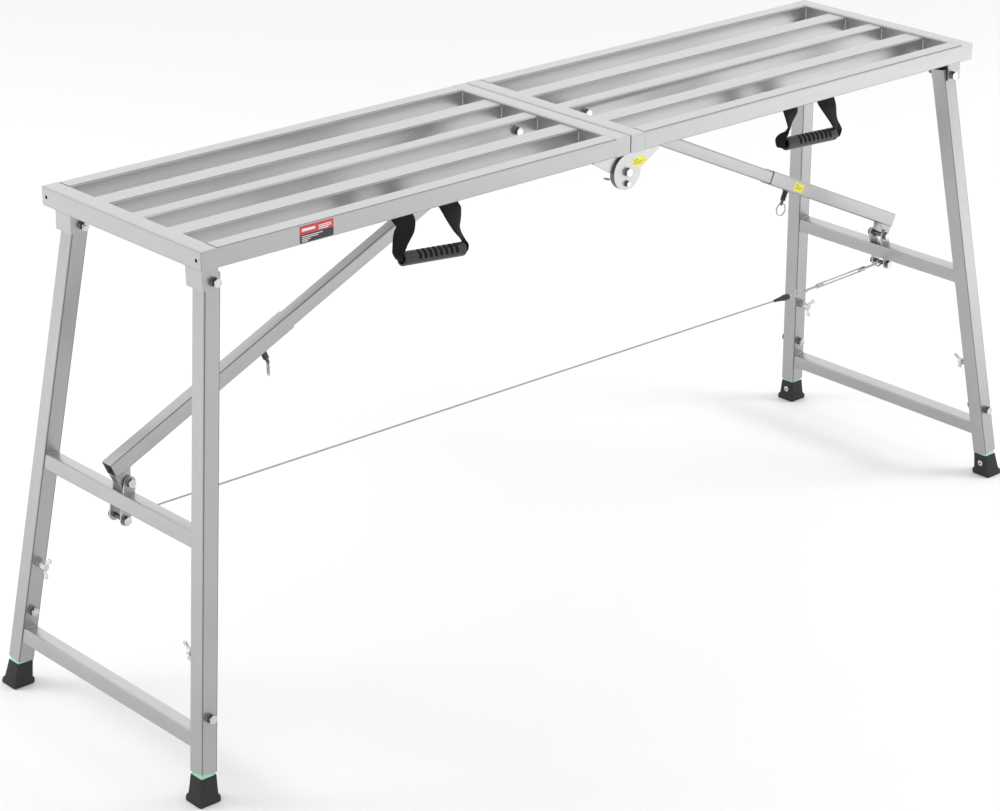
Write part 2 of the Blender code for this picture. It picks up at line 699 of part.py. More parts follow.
# ---- handles and cable --------------------------------------------------------------
def handle(side_name, x, grip_x, grip_z, slope, deck_holder):
    """A webbing strap through a tube grip, hanging under the front rail."""
    y = -HANDLE_Y
    top = HANDLE_HINGE_Z
    hinge = pivot(f"handle_swing_{side_name}", (x, y, top), deck_holder)
    along = Vector((math.cos(slope), 0, -math.sin(slope)))
    centre = Vector((grip_x, y, grip_z))
    arms = []
    for arm in (-1, 1):
        end = centre + along * (arm * GRIP_HALF)
        inner = end.x + arm * 0.0019
        outer = end.x + arm * 0.0092
        outline = [(x + arm * 0.0225, top), (x + arm * 0.0665, top)]
        outline += [(outer, end.z + 0.016), (outer, end.z - 0.007), (inner, end.z - 0.007)]
        outline += [(inner, end.z + 0.0135), (x + arm * 0.030, top - 0.016)]
        arms.append(plate(outline, y - STRAP_THICK / 2, y + STRAP_THICK / 2))
    reach = along * (GRIP_HALF + 0.0045)
    core = rod(centre - reach, centre + reach, GRIP_BORE - 0.0006)
    piece(f"handle_strap_{side_name}", core, WEBBING, hinge, joins=arms)
    across = Vector((0, 1, 0))
    rings = []
    for offset, radius in ((-GRIP_HALF, GRIP_RADIUS), (GRIP_HALF, GRIP_RADIUS),
                           (GRIP_HALF, GRIP_BORE), (-GRIP_HALF, GRIP_BORE)):
        rings.append(circle(centre + along * offset, across, along.cross(across), radius, 16))
    piece(f"handle_grip_{side_name}", loft(rings, closed=True), PLASTIC, hinge)


def cable_and_turnbuckle(left_pin, right_pin, left_frame, right_frame):
    """The spread limiting cable: a wire from the left leg frame, hooked to a turnbuckle."""
    cable_holder = pivot("cable_turn", left_pin, left_frame)
    clear = WING_BOLT + 0.0012
    line = (CABLE_HOOK - left_pin).normalized()
    start = left_pin + line * clear
    rope = rod(start, CABLE_HOOK - line * 0.0015, CABLE_RADIUS, 8)
    piece("cable", rope, ROPE, cable_holder)
    turn_holder = pivot("turnbuckle_turn", right_pin, right_frame)
    line = (CABLE_HOOK - right_pin).normalized()
    start = right_pin + line * clear
    length = (CABLE_HOOK - right_pin).length - clear
    thin = 0.0022
    steps = [(0, thin, False), (0.045, thin, False), (0.045, TURNBUCKLE_RADIUS, False)]
    steps += [(0.140, TURNBUCKLE_RADIUS, False), (0.140, thin, False), (length, thin, False)]
    piece("turnbuckle", turned(start, line, steps), ZINC, turn_holder)


# ---- the whole platform -------------------------------------------------------------
def clear_scene():
    """Removes whatever objects the file holds."""
    for thing in list(bpy.data.objects):
        bpy.data.objects.remove(thing, do_unlink=True)


def build():
    """Makes every piece, each under the empty of its joint."""
    clear_scene()
    root = pivot("deck_left_frame", (0, 0, 0))
    fold = pivot("deck_fold", (0, 0, HINGE_Z), root)
    holders = {"left": root, "right": fold}
    pins = {}
    frames = {}
    for side_name, side in SIDES:
        holder = holders[side_name]
        deck_half(side_name, side, holder)
        leg_fold = pivot(f"leg_fold_{side_name}", (side * LEG_PIVOT.x, 0, LEG_PIVOT.z), holder)
        pins[side_name] = leg_frame(side_name, side, leg_fold)
        frames[side_name] = leg_fold
        for end_name, end in ENDS:
            leg_pivot_bolt(f"leg_pivot_bolt_{side_name}_{end_name}", side, end, holder)
        brace(side_name, side, holder)
    for side_name, x, grip_x, grip_z, slope in HANDLES:
        handle(side_name, x, grip_x, grip_z, slope, holders[side_name])
    for end_name, end in ENDS:
        hinge_hardware(end_name, end, root, fold)
    cable_and_turnbuckle(pins["left"], pins["right"], frames["left"], frames["right"])


build()
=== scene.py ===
"""Looks of the folding work platform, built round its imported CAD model."""
import json
import math

import bmesh
import bpy
from mathutils import Matrix, Vector, noise


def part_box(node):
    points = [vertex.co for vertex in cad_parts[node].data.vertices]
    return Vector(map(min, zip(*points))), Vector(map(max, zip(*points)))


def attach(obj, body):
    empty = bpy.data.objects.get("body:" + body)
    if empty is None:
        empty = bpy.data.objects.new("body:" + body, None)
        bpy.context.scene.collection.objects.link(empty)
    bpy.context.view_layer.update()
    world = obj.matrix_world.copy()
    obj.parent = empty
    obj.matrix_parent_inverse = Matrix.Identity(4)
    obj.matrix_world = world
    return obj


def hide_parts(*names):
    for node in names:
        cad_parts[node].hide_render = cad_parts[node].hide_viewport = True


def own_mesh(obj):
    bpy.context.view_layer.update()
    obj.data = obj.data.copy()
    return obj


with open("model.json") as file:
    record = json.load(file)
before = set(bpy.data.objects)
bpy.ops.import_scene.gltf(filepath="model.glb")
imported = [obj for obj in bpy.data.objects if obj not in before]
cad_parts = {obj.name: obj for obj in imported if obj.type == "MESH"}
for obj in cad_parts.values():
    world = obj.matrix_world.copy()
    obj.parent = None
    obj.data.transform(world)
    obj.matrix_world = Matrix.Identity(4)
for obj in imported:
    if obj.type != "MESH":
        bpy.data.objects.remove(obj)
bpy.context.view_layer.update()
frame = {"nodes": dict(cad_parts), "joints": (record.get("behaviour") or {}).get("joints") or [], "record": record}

NODES = frame["nodes"]
JOINTS = {joint["name"]: joint for joint in frame["joints"]}
SIDES = (("left", -1), ("right", 1))
ENDS = (("front", -1), ("rear", 1))
BODY_OF = {member: body for body, members in frame["record"]["behaviour"]["bodies"].items()
           for member in members}
X, Y, Z = Vector((1, 0, 0)), Vector((0, 1, 0)), Vector((0, 0, 1))
MM = 0.001
DECK_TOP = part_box("rail_left_front")[1].z
BOLT_RADIUS = 4 * MM
BOLT_PITCH = 1.25 * MM
STRAP_THICK = 2.2 * MM
# How much longer the rails and slats are made, to close their seams with the cross tubes.
RAIL_GAP = 0.28 * MM
SLAT_GAP = 0.35 * MM


def joint_at(name):
    """A joint's point and unit axis, in the row frame."""
    joint = JOINTS[name]
    return Vector(joint["pos_m"]), Vector(joint["axis"]).normalized()


# ---- materials ----
def new_material(name, color, metallic, roughness):
    """A material with one Principled shader, and its node tree."""
    made = bpy.data.materials.new(name)
    made.use_nodes = True
    shader = made.node_tree.nodes["Principled BSDF"]
    shader.inputs["Base Color"].default_value = (*color, 1.0)
    shader.inputs["Metallic"].default_value = metallic
    shader.inputs["Roughness"].default_value = roughness
    return made, made.node_tree, shader


def add(tree, kind, **settings):
    """A node with its settings; keys that name an input set that input."""
    made = tree.nodes.new(kind)
    for key, value in settings.items():
        if key in made.inputs:
            made.inputs[key].default_value = value
        else:
            setattr(made, key, value)
    return made


def tint(tree, shader, source, low, high, spread=(0.3, 0.7)):
    """Colors the shader from low to high while the source goes over the spread."""
    made = add(tree, "ShaderNodeValToRGB")
    for element, place, color in zip(made.color_ramp.elements, spread, (low, high)):
        element.position = place
        element.color = (*color, 1.0)
    tree.links.new(source, made.inputs["Fac"])
    tree.links.new(made.outputs["Color"], shader.inputs["Base Color"])


def dull(tree, shader, source, low, high):
    """Varies the shader's roughness from low to high by a 0..1 source."""
    tree.links.new(span(tree, source, low, high), shader.inputs["Roughness"])


def span(tree, source, low, high, from_low=0.0):
    """Maps from_low..1 to low..high."""
    made = add(tree, "ShaderNodeMapRange")
    for key, value in (("From Min", from_low), ("To Min", low), ("To Max", high)):
        made.inputs[key].default_value = value
    tree.links.new(source, made.inputs["Value"])
    return made.outputs["Result"]


def object_noise(tree, scale, stretch=(1, 1, 1), detail=3.0):
    """Noise in object space, stretched along an axis where wanted."""
    place = add(tree, "ShaderNodeTexCoord")
    mapping = add(tree, "ShaderNodeMapping", Scale=stretch)
    tree.links.new(place.outputs["Object"], mapping.inputs["Vector"])
    made = add(tree, "ShaderNodeTexNoise", Scale=scale, Detail=detail, Roughness=0.55)
    tree.links.new(mapping.outputs["Vector"], made.inputs["Vector"])
    return made.outputs["Fac"]


def bump(tree, shader, height, strength, distance):
    """A bump from a height onto the shader."""
    made = add(tree, "ShaderNodeBump", Strength=strength, Distance=distance)
    tree.links.new(height, made.inputs["Height"])
    tree.links.new(made.outputs["Normal"], shader.inputs["Normal"])


def silver_steel(name, tone, stretch):
    """Satin silver tube: faint cloudy tone, drawing lines along the tube, fine grain."""
    made, tree, shader = new_material(name, (tone, tone, tone), 0.88, 0.34)
    cloud = object_noise(tree, 9.0, detail=4.0)
    lines = object_noise(tree, 260.0, stretch, 2.0)
    mix = add(tree, "ShaderNodeMath", operation="MULTIPLY_ADD")
    tree.links.new(lines, mix.inputs[0])
    mix.inputs[1].default_value = 0.35
    tree.links.new(cloud, mix.inputs[2])
    low = (tone * 0.93, tone * 0.935, tone * 0.945)
    high = (tone * 1.05, tone * 1.05, tone * 1.045)
    tint(tree, shader, mix.outputs[0], low, high, (0.35, 0.95))
    dull(tree, shader, cloud, 0.28, 0.40)
    grain = object_noise(tree, 900.0, detail=2.0)
    both = add(tree, "ShaderNodeMath", operation="ADD")
    tree.links.new(lines, both.inputs[0])
    tree.links.new(grain, both.inputs[1])
    bump(tree, shader, both.outputs[0], 0.12, 0.0001)
    return made


def zinc(name, tone, roughness):
    """Bright zinc plate with slight cloudiness and fine pitting."""
    made, tree, shader = new_material(name, (tone, tone, tone * 0.985), 1.0, roughness)
    cloud = object_noise(tree, 180.0)
    low = (tone * 0.84, tone * 0.85, tone * 0.86)
    high = (tone * 1.08, tone * 1.08, tone * 1.05)
    tint(tree, shader, cloud, low, high, (0.3, 0.75))
    dull(tree, shader, cloud, roughness * 0.75, roughness * 1.4)
    bump(tree, shader, object_noise(tree, 1600.0), 0.10, 0.0001)
    return made


def painted(name, color, roughness):
    """Smooth paint with an even, faint orange peel."""
    made, tree, shader = new_material(name, color, 0.0, roughness)
    cloud = object_noise(tree, 60.0)
    low = tuple(c * 0.88 for c in color)
    high = tuple(min(1.0, c * 1.08) for c in color)
    tint(tree, shader, cloud, low, high)
    dull(tree, shader, cloud, roughness * 0.8, roughness * 1.2)
    bump(tree, shader, object_noise(tree, 700.0), 0.08, 0.0001)
    return made


def moulded(name, tone, roughness, grain, strength):
    """Black moulded rubber or plastic with a fine spark-eroded grain."""
    made, tree, shader = new_material(name, (tone, tone, tone), 0.0, roughness)
    cloud = object_noise(tree, 40.0)
    tint(tree, shader, cloud, (tone * 0.75,) * 3, (tone * 1.45,) * 3)
    dull(tree, shader, cloud, roughness * 0.85, roughness * 1.15)
    bump(tree, shader, object_noise(tree, grain), strength, 0.0002)
    return made


def woven(name, tone):
    """Black webbing: ribs along the strap and crossing threads, from its UV map."""
    made, tree, shader = new_material(name, (tone, tone, tone), 0.0, 0.82)
    shader.inputs["Specular IOR Level"].default_value = 0.25
    place = add(tree, "ShaderNodeUVMap")
    split = add(tree, "ShaderNodeSeparateXYZ")
    tree.links.new(place.outputs["UV"], split.inputs["Vector"])
    weave = add(tree, "ShaderNodeMath", operation="MULTIPLY")
    for index, (axis, pitch) in enumerate((("X", 1.7 * MM), ("Y", 1.3 * MM))):
        turn = add(tree, "ShaderNodeMath", operation="MULTIPLY")
        turn.inputs[1].default_value = 2.0 * math.pi / pitch
        tree.links.new(split.outputs[axis], turn.inputs[0])
        wave = add(tree, "ShaderNodeMath", operation="SINE")
        tree.links.new(turn.outputs[0], wave.inputs[0])
        tree.links.new(wave.outputs[0], weave.inputs[index])
    unit = span(tree, weave.outputs[0], 0.0, 1.0, from_low=-1.0)
    tint(tree, shader, unit, (tone * 0.6,) * 3, (tone * 1.9,) * 3, (0.2, 0.8))
    bump(tree, shader, unit, 0.5, 0.0004)
    return made


STEEL = {
    "x": silver_steel("steel_along_x", 0.41, (0.02, 1, 1)),
    "y": silver_steel("steel_along_y", 0.41, (1, 0.02, 1)),
    "z": silver_steel("steel_along_z", 0.41, (1, 1, 0.02)),
}
PLATE_STEEL = silver_steel("steel_plate", 0.50, (1, 1, 1))
# Dark and light steel for the tubes' long round corners: painted shade and painted highlight that stand in for the
# dark and bright reflection lines along the edges.
CORNER_PAINTED_SHADE = silver_steel("steel_corner_painted_shade", 0.19, (1, 1, 1))
CORNER_PAINTED_HIGHLIGHT = silver_steel("steel_corner_painted_highlight", 0.42, (1, 1, 1))
WELD = zinc("weld_bead", 0.60, 0.30)
ZINC = zinc("zinc_bright", 0.66, 0.22)
# Dark zinc: painted shade on the flanks of hex heads and nuts and on the hinge plates' edges; the pull pins'
# housings are this dark zinc all over.
ZINC_SHADE_AND_PIN = zinc("zinc_painted_shade_and_pin_body", 0.13, 0.30)
ZINC_DULL = zinc("zinc_dull", 0.50, 0.34)
MINT = painted("mint_paint", (0.30, 0.62, 0.43), 0.38)
RUBBER = moulded("black_rubber", 0.007, 0.62, 500.0, 0.25)
GRIP = moulded("grip_plastic", 0.012, 0.34, 1400.0, 0.12)
WEBBING = woven("black_webbing", 0.004)
FERRULE = moulded("ferrule_sleeve", 0.016, 0.45, 900.0, 0.15)
ROPE = zinc("cable_wire", 0.42, 0.42)
LABEL_RED = painted("label_red", (0.55, 0.030, 0.040), 0.30)
LABEL_BLACK = painted("label_black", (0.020, 0.020, 0.022), 0.30)
LABEL_WHITE = painted("label_white", (0.70, 0.70, 0.70), 0.30)
LABEL_YELLOW = painted("label_yellow", (0.72, 0.70, 0.03), 0.32)
# Near-black painted shade for hollows: the bottom of each rivet's head, the grip's slot floors and its bore.
CAVITY_SHADE = moulded("painted_shade_inside", 0.004, 0.80, 300.0, 0.05)


# ---- mesh tools ----
def finish_piece(name, mesh, material, body, smooth=40.0, replaces=(), others=(), pick=None):
    """One object from a bmesh, riding on a body; pick gives a face's material number."""
    data = bpy.data.meshes.new(name)
    bmesh.ops.recalc_face_normals(mesh, faces=mesh.faces)
    if pick:
        mesh.normal_update()
        for face in mesh.faces:
            face.material_index = pick(face)
    mesh.to_mesh(data)
    mesh.free()
    data.shade_smooth()
    data.set_sharp_from_angle(angle=math.radians(smooth))
    for each in (material, *others):
        data.materials.append(each)
    made = bpy.data.objects.new(name, data)
    bpy.context.scene.collection.objects.link(made)
    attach(made, body)
    if replaces:
        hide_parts(*replaces)
    return made


def frame_of(axis):
    """Two unit vectors square to an axis."""
    axis = Vector(axis).normalized()
    helper = Z if abs(axis.z) < 0.9 else X
    u = axis.cross(helper).normalized()
    return u, axis.cross(u).normalized()


def add_loft(mesh, rings, closed=False):
    """Adds a body through rings of equal point count: capped, or closed to a loop."""
    loops = [[mesh.verts.new(point) for point in ring] for ring in rings]
    pairs = list(zip(loops, loops[1:]))
    if closed:
        pairs.append((loops[-1], loops[0]))
    count = len(loops[0])
    for lower, upper in pairs:
        for index in range(count):
            after = (index + 1) % count
            mesh.faces.new((lower[index], lower[after], upper[after], upper[index]))
    if not closed:
        mesh.faces.new(loops[0])
        mesh.faces.new(loops[-1])
    return loops


def in_mm(rows):
    """A turned body's profile, given in mm, as metres."""
    return [tuple(value * MM for value in row) for row in rows]


def ring_points(centre, u, v, radius, count):
    """Points round a circle."""
    points = []
    for index in range(count):
        angle = 2.0 * math.pi * index / count
        points.append(centre + u * (radius * math.cos(angle)) + v * (radius * math.sin(angle)))
    return points


def add_turned(mesh, start, axis, profile, count=32):
    """Adds a turned body: profile holds (distance, radius)."""
    axis = Vector(axis).normalized()
    u, v = frame_of(axis)
    add_loft(mesh, [ring_points(start + axis * t, u, v, r, count) for t, r in profile])


def add_torus(mesh, centre, normal, radius, wire, count=40, sides=10):
    """Adds a ring of round wire."""
    u, v = frame_of(normal)
    normal = Vector(normal).normalized()
    rings = []
    for index in range(count):
        angle = math.radians(360.0 * index / count)
        spoke = u * math.cos(angle) + v * math.sin(angle)
        rings.append(ring_points(centre + spoke * radius, spoke, normal, wire, sides))
    add_loft(mesh, rings, closed=True)


def hex_reach(angle, flat):
    """Distance to a hexagon's side; flat is half its width across flats."""
    part = (angle + math.pi / 6.0) % (math.pi / 3.0) - math.pi / 6.0
    return flat / math.cos(part)


def add_hexagon(mesh, base, axis, flat, thick, both=False):
    """Adds a hexagon head or nut, its outer corners turned off at 30 degrees."""
    axis = Vector(axis).normalized()
    u, v = frame_of(axis)
    round_off = flat * 0.95
    count = 48
    low, side_low, side_high, high = [], [], [], []
    for index in range(count):
        angle = 2.0 * math.pi * index / count
        spoke = u * math.cos(angle) + v * math.sin(angle)
        reach = hex_reach(angle, flat)
        drop = max(0.0, reach - round_off) * 0.55
        bottom = drop if both else 0.0
        low.append(base + spoke * (round_off if both else reach))
        side_low.append(base + spoke * reach + axis * max(bottom, 0.00002))
        side_high.append(base + spoke * reach + axis * (thick - drop))
        high.append(base + spoke * round_off + axis * thick)
    add_loft(mesh, [low, side_low, side_high, high])


def add_thread(mesh, start, axis, radius, length, pitch):
    """Adds a threaded end as fine turned grooves with a chamfered tip."""
    profile = [(0.0, radius)]
    turns = max(1, int(length / pitch))
    for index in range(turns):
        profile += [(pitch * (index + 0.5), radius * 0.88), (pitch * (index + 1.0), radius)]
    profile.append((pitch * turns + radius * 0.25, radius * 0.72))
    add_turned(mesh, start, axis, profile, 24)


def side_picker(axis):
    """Gives 1 for faces that look away from an axis, 0 for those that face along it."""
    axis = Vector(axis).normalized()
    return lambda face: 1 if abs(face.normal.dot(axis)) < 0.5 else 0


def hex_bolt(name, head_face, nut_face, body, replaces=(), tail=4.0 * MM, ends=(2.0, 1.7)):
    """A hexagon bolt and nut between two faces; ends are the heights of both, in bolt radii."""
    axis = (head_face - nut_face).normalized()
    grip = (head_face - nut_face).length
    flat = BOLT_RADIUS * 1.60
    head, nut = BOLT_RADIUS * ends[0], BOLT_RADIUS * ends[1]
    washer, edge = 1.0 * MM, 0.0002
    disc = [(0, flat * 1.10), (edge, flat * 1.12), (washer - edge, flat * 1.12),
            (washer, flat * 1.10)]
    mesh = bmesh.new()
    for face, way in ((head_face, axis), (nut_face, -axis)):
        add_turned(mesh, face, way, disc, 40)
    add_hexagon(mesh, head_face + axis * washer, axis, flat, head)
    add_hexagon(mesh, nut_face - axis * washer, -axis, flat, nut, both=True)
    add_turned(mesh, head_face, -axis, [(0, BOLT_RADIUS), (grip, BOLT_RADIUS)], 24)
    add_thread(mesh, nut_face - axis * (washer + nut), -axis, BOLT_RADIUS * 0.97, tail, 1.1 * MM)
    # The flanks of the head and nut get the dark zinc as painted shade.
    finish_piece(name, mesh, ZINC, body, 28.0, replaces, (ZINC_SHADE_AND_PIN,),
                 side_picker(axis))


def corner_painted_light(face):
    """Material number of a face: 1 for painted shade and 2 for painted highlight on the tubes' long round corners.
    """
    shortest, widest = 0.015, 0.0024
    longest = max(edge.calc_length() for edge in face.edges)
    if longest < shortest or face.calc_area() / longest > widest:
        return 0
    x, y, z = (abs(part) for part in face.normal)
    if y > 0.2 and z > 0.2 and y + z > x:
        return 1 if z > y else 2
    if x > 0.2 and y > 0.2:
        return 1 if y > x else 0
    return 0


def round_corners(mesh):
    """Rounds the upright edges of the deck's four corners and of the brackets below them."""
    edges = []
    for edge in mesh.edges:
        a, b = (vertex.co for vertex in edge.verts)
        outer = min(abs(a.x), abs(b.x)) > 0.81 and min(abs(a.y), abs(b.y)) > 0.185
        upright = abs(a.z - b.z) > 0.95 * edge.calc_length() and edge.calc_length() > 0.010
        if outer and upright and len(edge.link_faces) == 2 and edge.is_convex:
            edges.append(edge)
    bmesh.ops.bevel(mesh, geom=edges, offset=1.8 * MM, offset_type="OFFSET", segments=3,
                    profile=0.5, affect="EDGES", clamp_overlap=True)


def refined(node, material, bevel=0.00035, longer=0.0, corners=True, side=None, joints=(),
            round_out=False):
    """A CAD node's shape with merged flats, tiny rounded edges and clean shading.

    Corners within 4 mm of the x values in joints are welded over and get no painted corner shade or highlight.
    """
    mesh = bmesh.new()
    mesh.from_mesh(NODES[node].data)
    bmesh.ops.remove_doubles(mesh, verts=mesh.verts, dist=2e-6)
    bmesh.ops.dissolve_limit(mesh, angle_limit=math.radians(0.6), verts=mesh.verts,
                             edges=mesh.edges)
    if longer:
        slack = 0.00005
        low = min(vertex.co.x for vertex in mesh.verts)
        high = max(vertex.co.x for vertex in mesh.verts)
        for vertex in mesh.verts:
            if vertex.co.x < low + slack:
                vertex.co.x -= longer
            elif vertex.co.x > high - slack:
                vertex.co.x += longer
    if round_out:
        round_corners(mesh)

    def pick(face):
        x = face.calc_center_median().x
        return 0 if any(abs(x - joint) < 4 * MM for joint in joints) else corner_painted_light(face)

    # Painted shade and painted highlight on the long round corners.
    others = (CORNER_PAINTED_SHADE, CORNER_PAINTED_HIGHLIGHT)
    # A side material puts painted shade on the faces that look away from Y.
    if side:
        others, pick = (side,), side_picker(Y)
    elif not corners:
        others, pick = (), None
    made = finish_piece(node + "_skin", mesh, material, BODY_OF[node], 52.0,
                        (node,), others, pick)
    if bevel:
        modifier = made.modifiers.new("edges", "BEVEL")
        modifier.width = bevel
        modifier.segments = 2
        modifier.limit_method = "ANGLE"
        modifier.angle_limit = math.radians(55.0)
        modifier.use_clamp_overlap = True
        modifier.harden_normals = False
    weighted = made.modifiers.new("shading", "WEIGHTED_NORMAL")
    weighted.keep_sharp = True
    weighted.weight = 80


# ---- tubes and plates ----
def steel_tubes():
    """The welded tubes, the plates and the sliding tubes."""
    for side_name, _ in SIDES:
        low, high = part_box(f"rail_{side_name}_front")
        for node in (f"end_tube_{side_name}", f"center_tube_{side_name}"):
            refined(node, STEEL["y"], joints=(low.x, high.x), round_out=node.startswith("end"))
        refined(f"brace_channel_{side_name}", STEEL["x"], bevel=0.0, longer=SLAT_GAP)
        for node in (f"brace_slider_{side_name}", f"brace_sleeve_{side_name}"):
            refined(node, STEEL["x"])
        for node in (f"crossbar_upper_{side_name}", f"crossbar_lower_{side_name}"):
            refined(node, STEEL["y"])
        for end_name, _ in ENDS:
            key = f"{side_name}_{end_name}"
            refined(f"rail_{key}", STEEL["x"], bevel=0.0, longer=RAIL_GAP)
            refined(f"slat_{key}", STEEL["x"], bevel=0.0, longer=SLAT_GAP)
            refined(f"outer_leg_{key}", STEEL["z"])
            refined(f"inner_leg_{key}", MINT, corners=False)
            # The plates' edges get the dark zinc as painted shade.
            refined(f"hinge_plate_{key}", PLATE_STEEL, bevel=0.0006, side=ZINC_SHADE_AND_PIN)


# ---- weld beads ----
def add_bead(mesh, start, end, radius):
    """Adds a weld bead: a rod of overlapping ripples with rounded ends."""
    slice_length, ripple_pitch = 0.0007, 0.0024
    along = end - start
    length = along.length
    axis = along / length
    u, v = frame_of(axis)
    steps = max(8, int(length / slice_length))
    rings = []
    for index in range(steps + 1):
        t = index / steps
        ends = math.sqrt(max(0.0, 1.0 - (2.0 * t - 1.0) ** 8))
        ripple = 1.0 + 0.10 * math.sin(2.0 * math.pi * t * length / ripple_pitch)
        wander = 1.0 + 0.18 * noise.noise((start + along * t) * 160.0)
        size = max(0.0001, radius * ends * ripple * wander)
        rings.append(ring_points(start + along * t, u, v, size, 10))
    add_loft(mesh, rings)


def deck_welds():
    """Beads where the slats and rails meet the cross tubes of each deck half."""
    for side_name, side in SIDES:
        mesh = bmesh.new()
        facing = 1 if side > 0 else 0
        x_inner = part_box(f"center_tube_{side_name}")[facing].x
        x_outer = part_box(f"rail_{side_name}_front")[facing].x
        slats = [f"slat_{side_name}_{end}" for end, _ in ENDS] + [f"brace_channel_{side_name}"]
        for node in slats:
            low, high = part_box(node)
            for x in (x_inner, x_outer):
                for y in (low.y, high.y):
                    add_bead(mesh, Vector((x, y, high.z - 3.5 * MM)),
                             Vector((x, y, low.z + 4 * MM)), 1.25 * MM)
                add_bead(mesh, Vector((x, low.y + 2.5 * MM, low.z)),
                         Vector((x, high.y - 2.5 * MM, low.z)), 1.2 * MM)
        for end_name, end in ENDS:
            low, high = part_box(f"rail_{side_name}_{end_name}")
            y = low.y if end > 0 else high.y
            for x in (x_inner, x_outer):
                add_bead(mesh, Vector((x, y, high.z - 3 * MM)), Vector((x, y, low.z + 3 * MM)),
                         1.3 * MM)
        finish_piece(f"deck_welds_{side_name}", mesh, WELD, f"deck_{side_name}",
                     60.0)


def leg_welds():
    """Beads along the top and bottom of the crossbars' ends."""
    for side_name, _ in SIDES:
        mesh = bmesh.new()
        for level in ("upper", "lower"):
            data = NODES[f"crossbar_{level}_{side_name}"].data
            points = [vertex.co for vertex in data.vertices]
            for _, end in ENDS:
                reach = max(point.y * end for point in points)
                face = [p for p in points if p.y * end > reach - 3.5 * MM]
                middle = sum(face, Vector()) / len(face)
                corners = []
                for a, b in ((1, 1), (-1, 1), (-1, -1), (1, -1)):
                    corners.append(max(face, key=lambda p: (p.x - middle.x) * a
                                       + (p.z - middle.z) * b))
                for first, second in (corners[:2], corners[2:]):
                    inset = (second - first) * 0.06
                    add_bead(mesh, first + inset, second - inset, 1.3 * MM)
        finish_piece(f"leg_welds_{side_name}", mesh, WELD, f"leg_frame_{side_name}",
                     60.0)


def hinge_welds():
    """Beads along the top of each hinge plate, under its rail."""
    for side_name, side in SIDES:
        for end_name, end in ENDS:
            low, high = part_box(f"hinge_plate_{side_name}_{end_name}")
            outer = high.y if end > 0 else low.y
            near = side * 4 * MM
            far = (high.x if side > 0 else low.x) - side * 3 * MM
            mesh = bmesh.new()
            add_bead(mesh, Vector((near, outer, high.z)), Vector((far, outer, high.z)), 1.2 * MM)
            finish_piece(f"hinge_weld_{side_name}_{end_name}", mesh, WELD, f"deck_{side_name}",
                         60.0)


# ---- bolts ----
def node_bolt(node, end, head_thick, body, ends=(1.7, 1.6)):
    """A hexagon bolt where a CAD bolt lies along Y, its head towards end."""
    nut_thick = 7 * MM
    low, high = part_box(node)
    centre = (low + high) / 2
    outer, inner = (high.y, low.y) if end > 0 else (low.y, high.y)
    head = Vector((centre.x, outer - end * head_thick, centre.z))
    nut = Vector((centre.x, inner + end * nut_thick, centre.z))
    hex_bolt(node + "_hex", head, nut, body, (node,), ends=ends)


def fixed_bolts():
    """Leg pivot, hinge pivot and brace top bolts, and the bolts in the crossbars' tabs."""
    for side_name, side in SIDES:
        deck = f"deck_{side_name}"
        for end_name, end in ENDS:
            node_bolt(f"leg_pivot_bolt_{side_name}_{end_name}", end, 8 * MM, deck)
        node_bolt(f"brace_top_bolt_{side_name}", -1, 8 * MM, deck)
        tab_bolts(side_name, side)
    for end_name, end in ENDS:
        node_bolt(f"hinge_pivot_bolt_{end_name}", end, 5 * MM, "deck_left", (1.1, 1.5))


def tab_bolts(side_name, side):
    """The brace's lower bolt and the cable's bolt, through the upper crossbar's tabs."""
    half = 15.6 * MM
    cable_joint = "cable_turn" if side < 0 else "turnbuckle_turn"
    for label, at in (("brace", brace_pin(side_name)), ("cable", joint_at(cable_joint)[0])):
        head = Vector((at.x, -half, at.z))
        nut = Vector((at.x, half, at.z))
        hex_bolt(f"{label}_tab_bolt_{side_name}", head, nut, f"leg_frame_{side_name}",
                 tail=1.0 * MM, ends=(1.2, 1.2))


def brace_pin(side_name):
    """Where the brace's lower bolt is: square below the sleeve's axis, near its lower end."""
    end_at, up_axis = joint_at(f"brace_slide_{side_name}")
    down_axis = -up_axis
    below = down_axis.cross(Y)
    if below.z > 0:
        below = -below
    return end_at - down_axis * (13.3 * MM) + below * (31.0 * MM)


def height_bolts():
    """The bolts that set each leg's height, low on the outer legs, along Y."""
    half = 14.9 * MM
    for side_name, _ in SIDES:
        for end_name, end in ENDS:
            foot_at, up = joint_at(f"leg_extend_{side_name}_{end_name}")
            centre = foot_at + up * (86.5 * MM)
            aim = Vector((0, end, 0))
            hex_bolt(f"height_bolt_{side_name}_{end_name}", centre + aim * half,
                     centre - aim * half, f"leg_frame_{side_name}")


# ---- wing bolts ----
def wing_outline():
    """One side of a wing bolt's profile, swept away from the hub to a round tip."""
    points = [(0.0, -5.0), (5.0, -5.2), (7.4, -2.4), (10.2, 1.0)]
    for step in range(9):
        angle = math.radians(-62.0 + 190.0 * step / 8)
        points.append((13.4 + 3.7 * math.cos(angle), 6.0 + 4.3 * math.sin(angle)))
    points += [(8.6, 5.6), (5.6, 3.6), (0.0, 3.6)]
    return [Vector((x * MM, z * MM, 0)) for x, z in points]


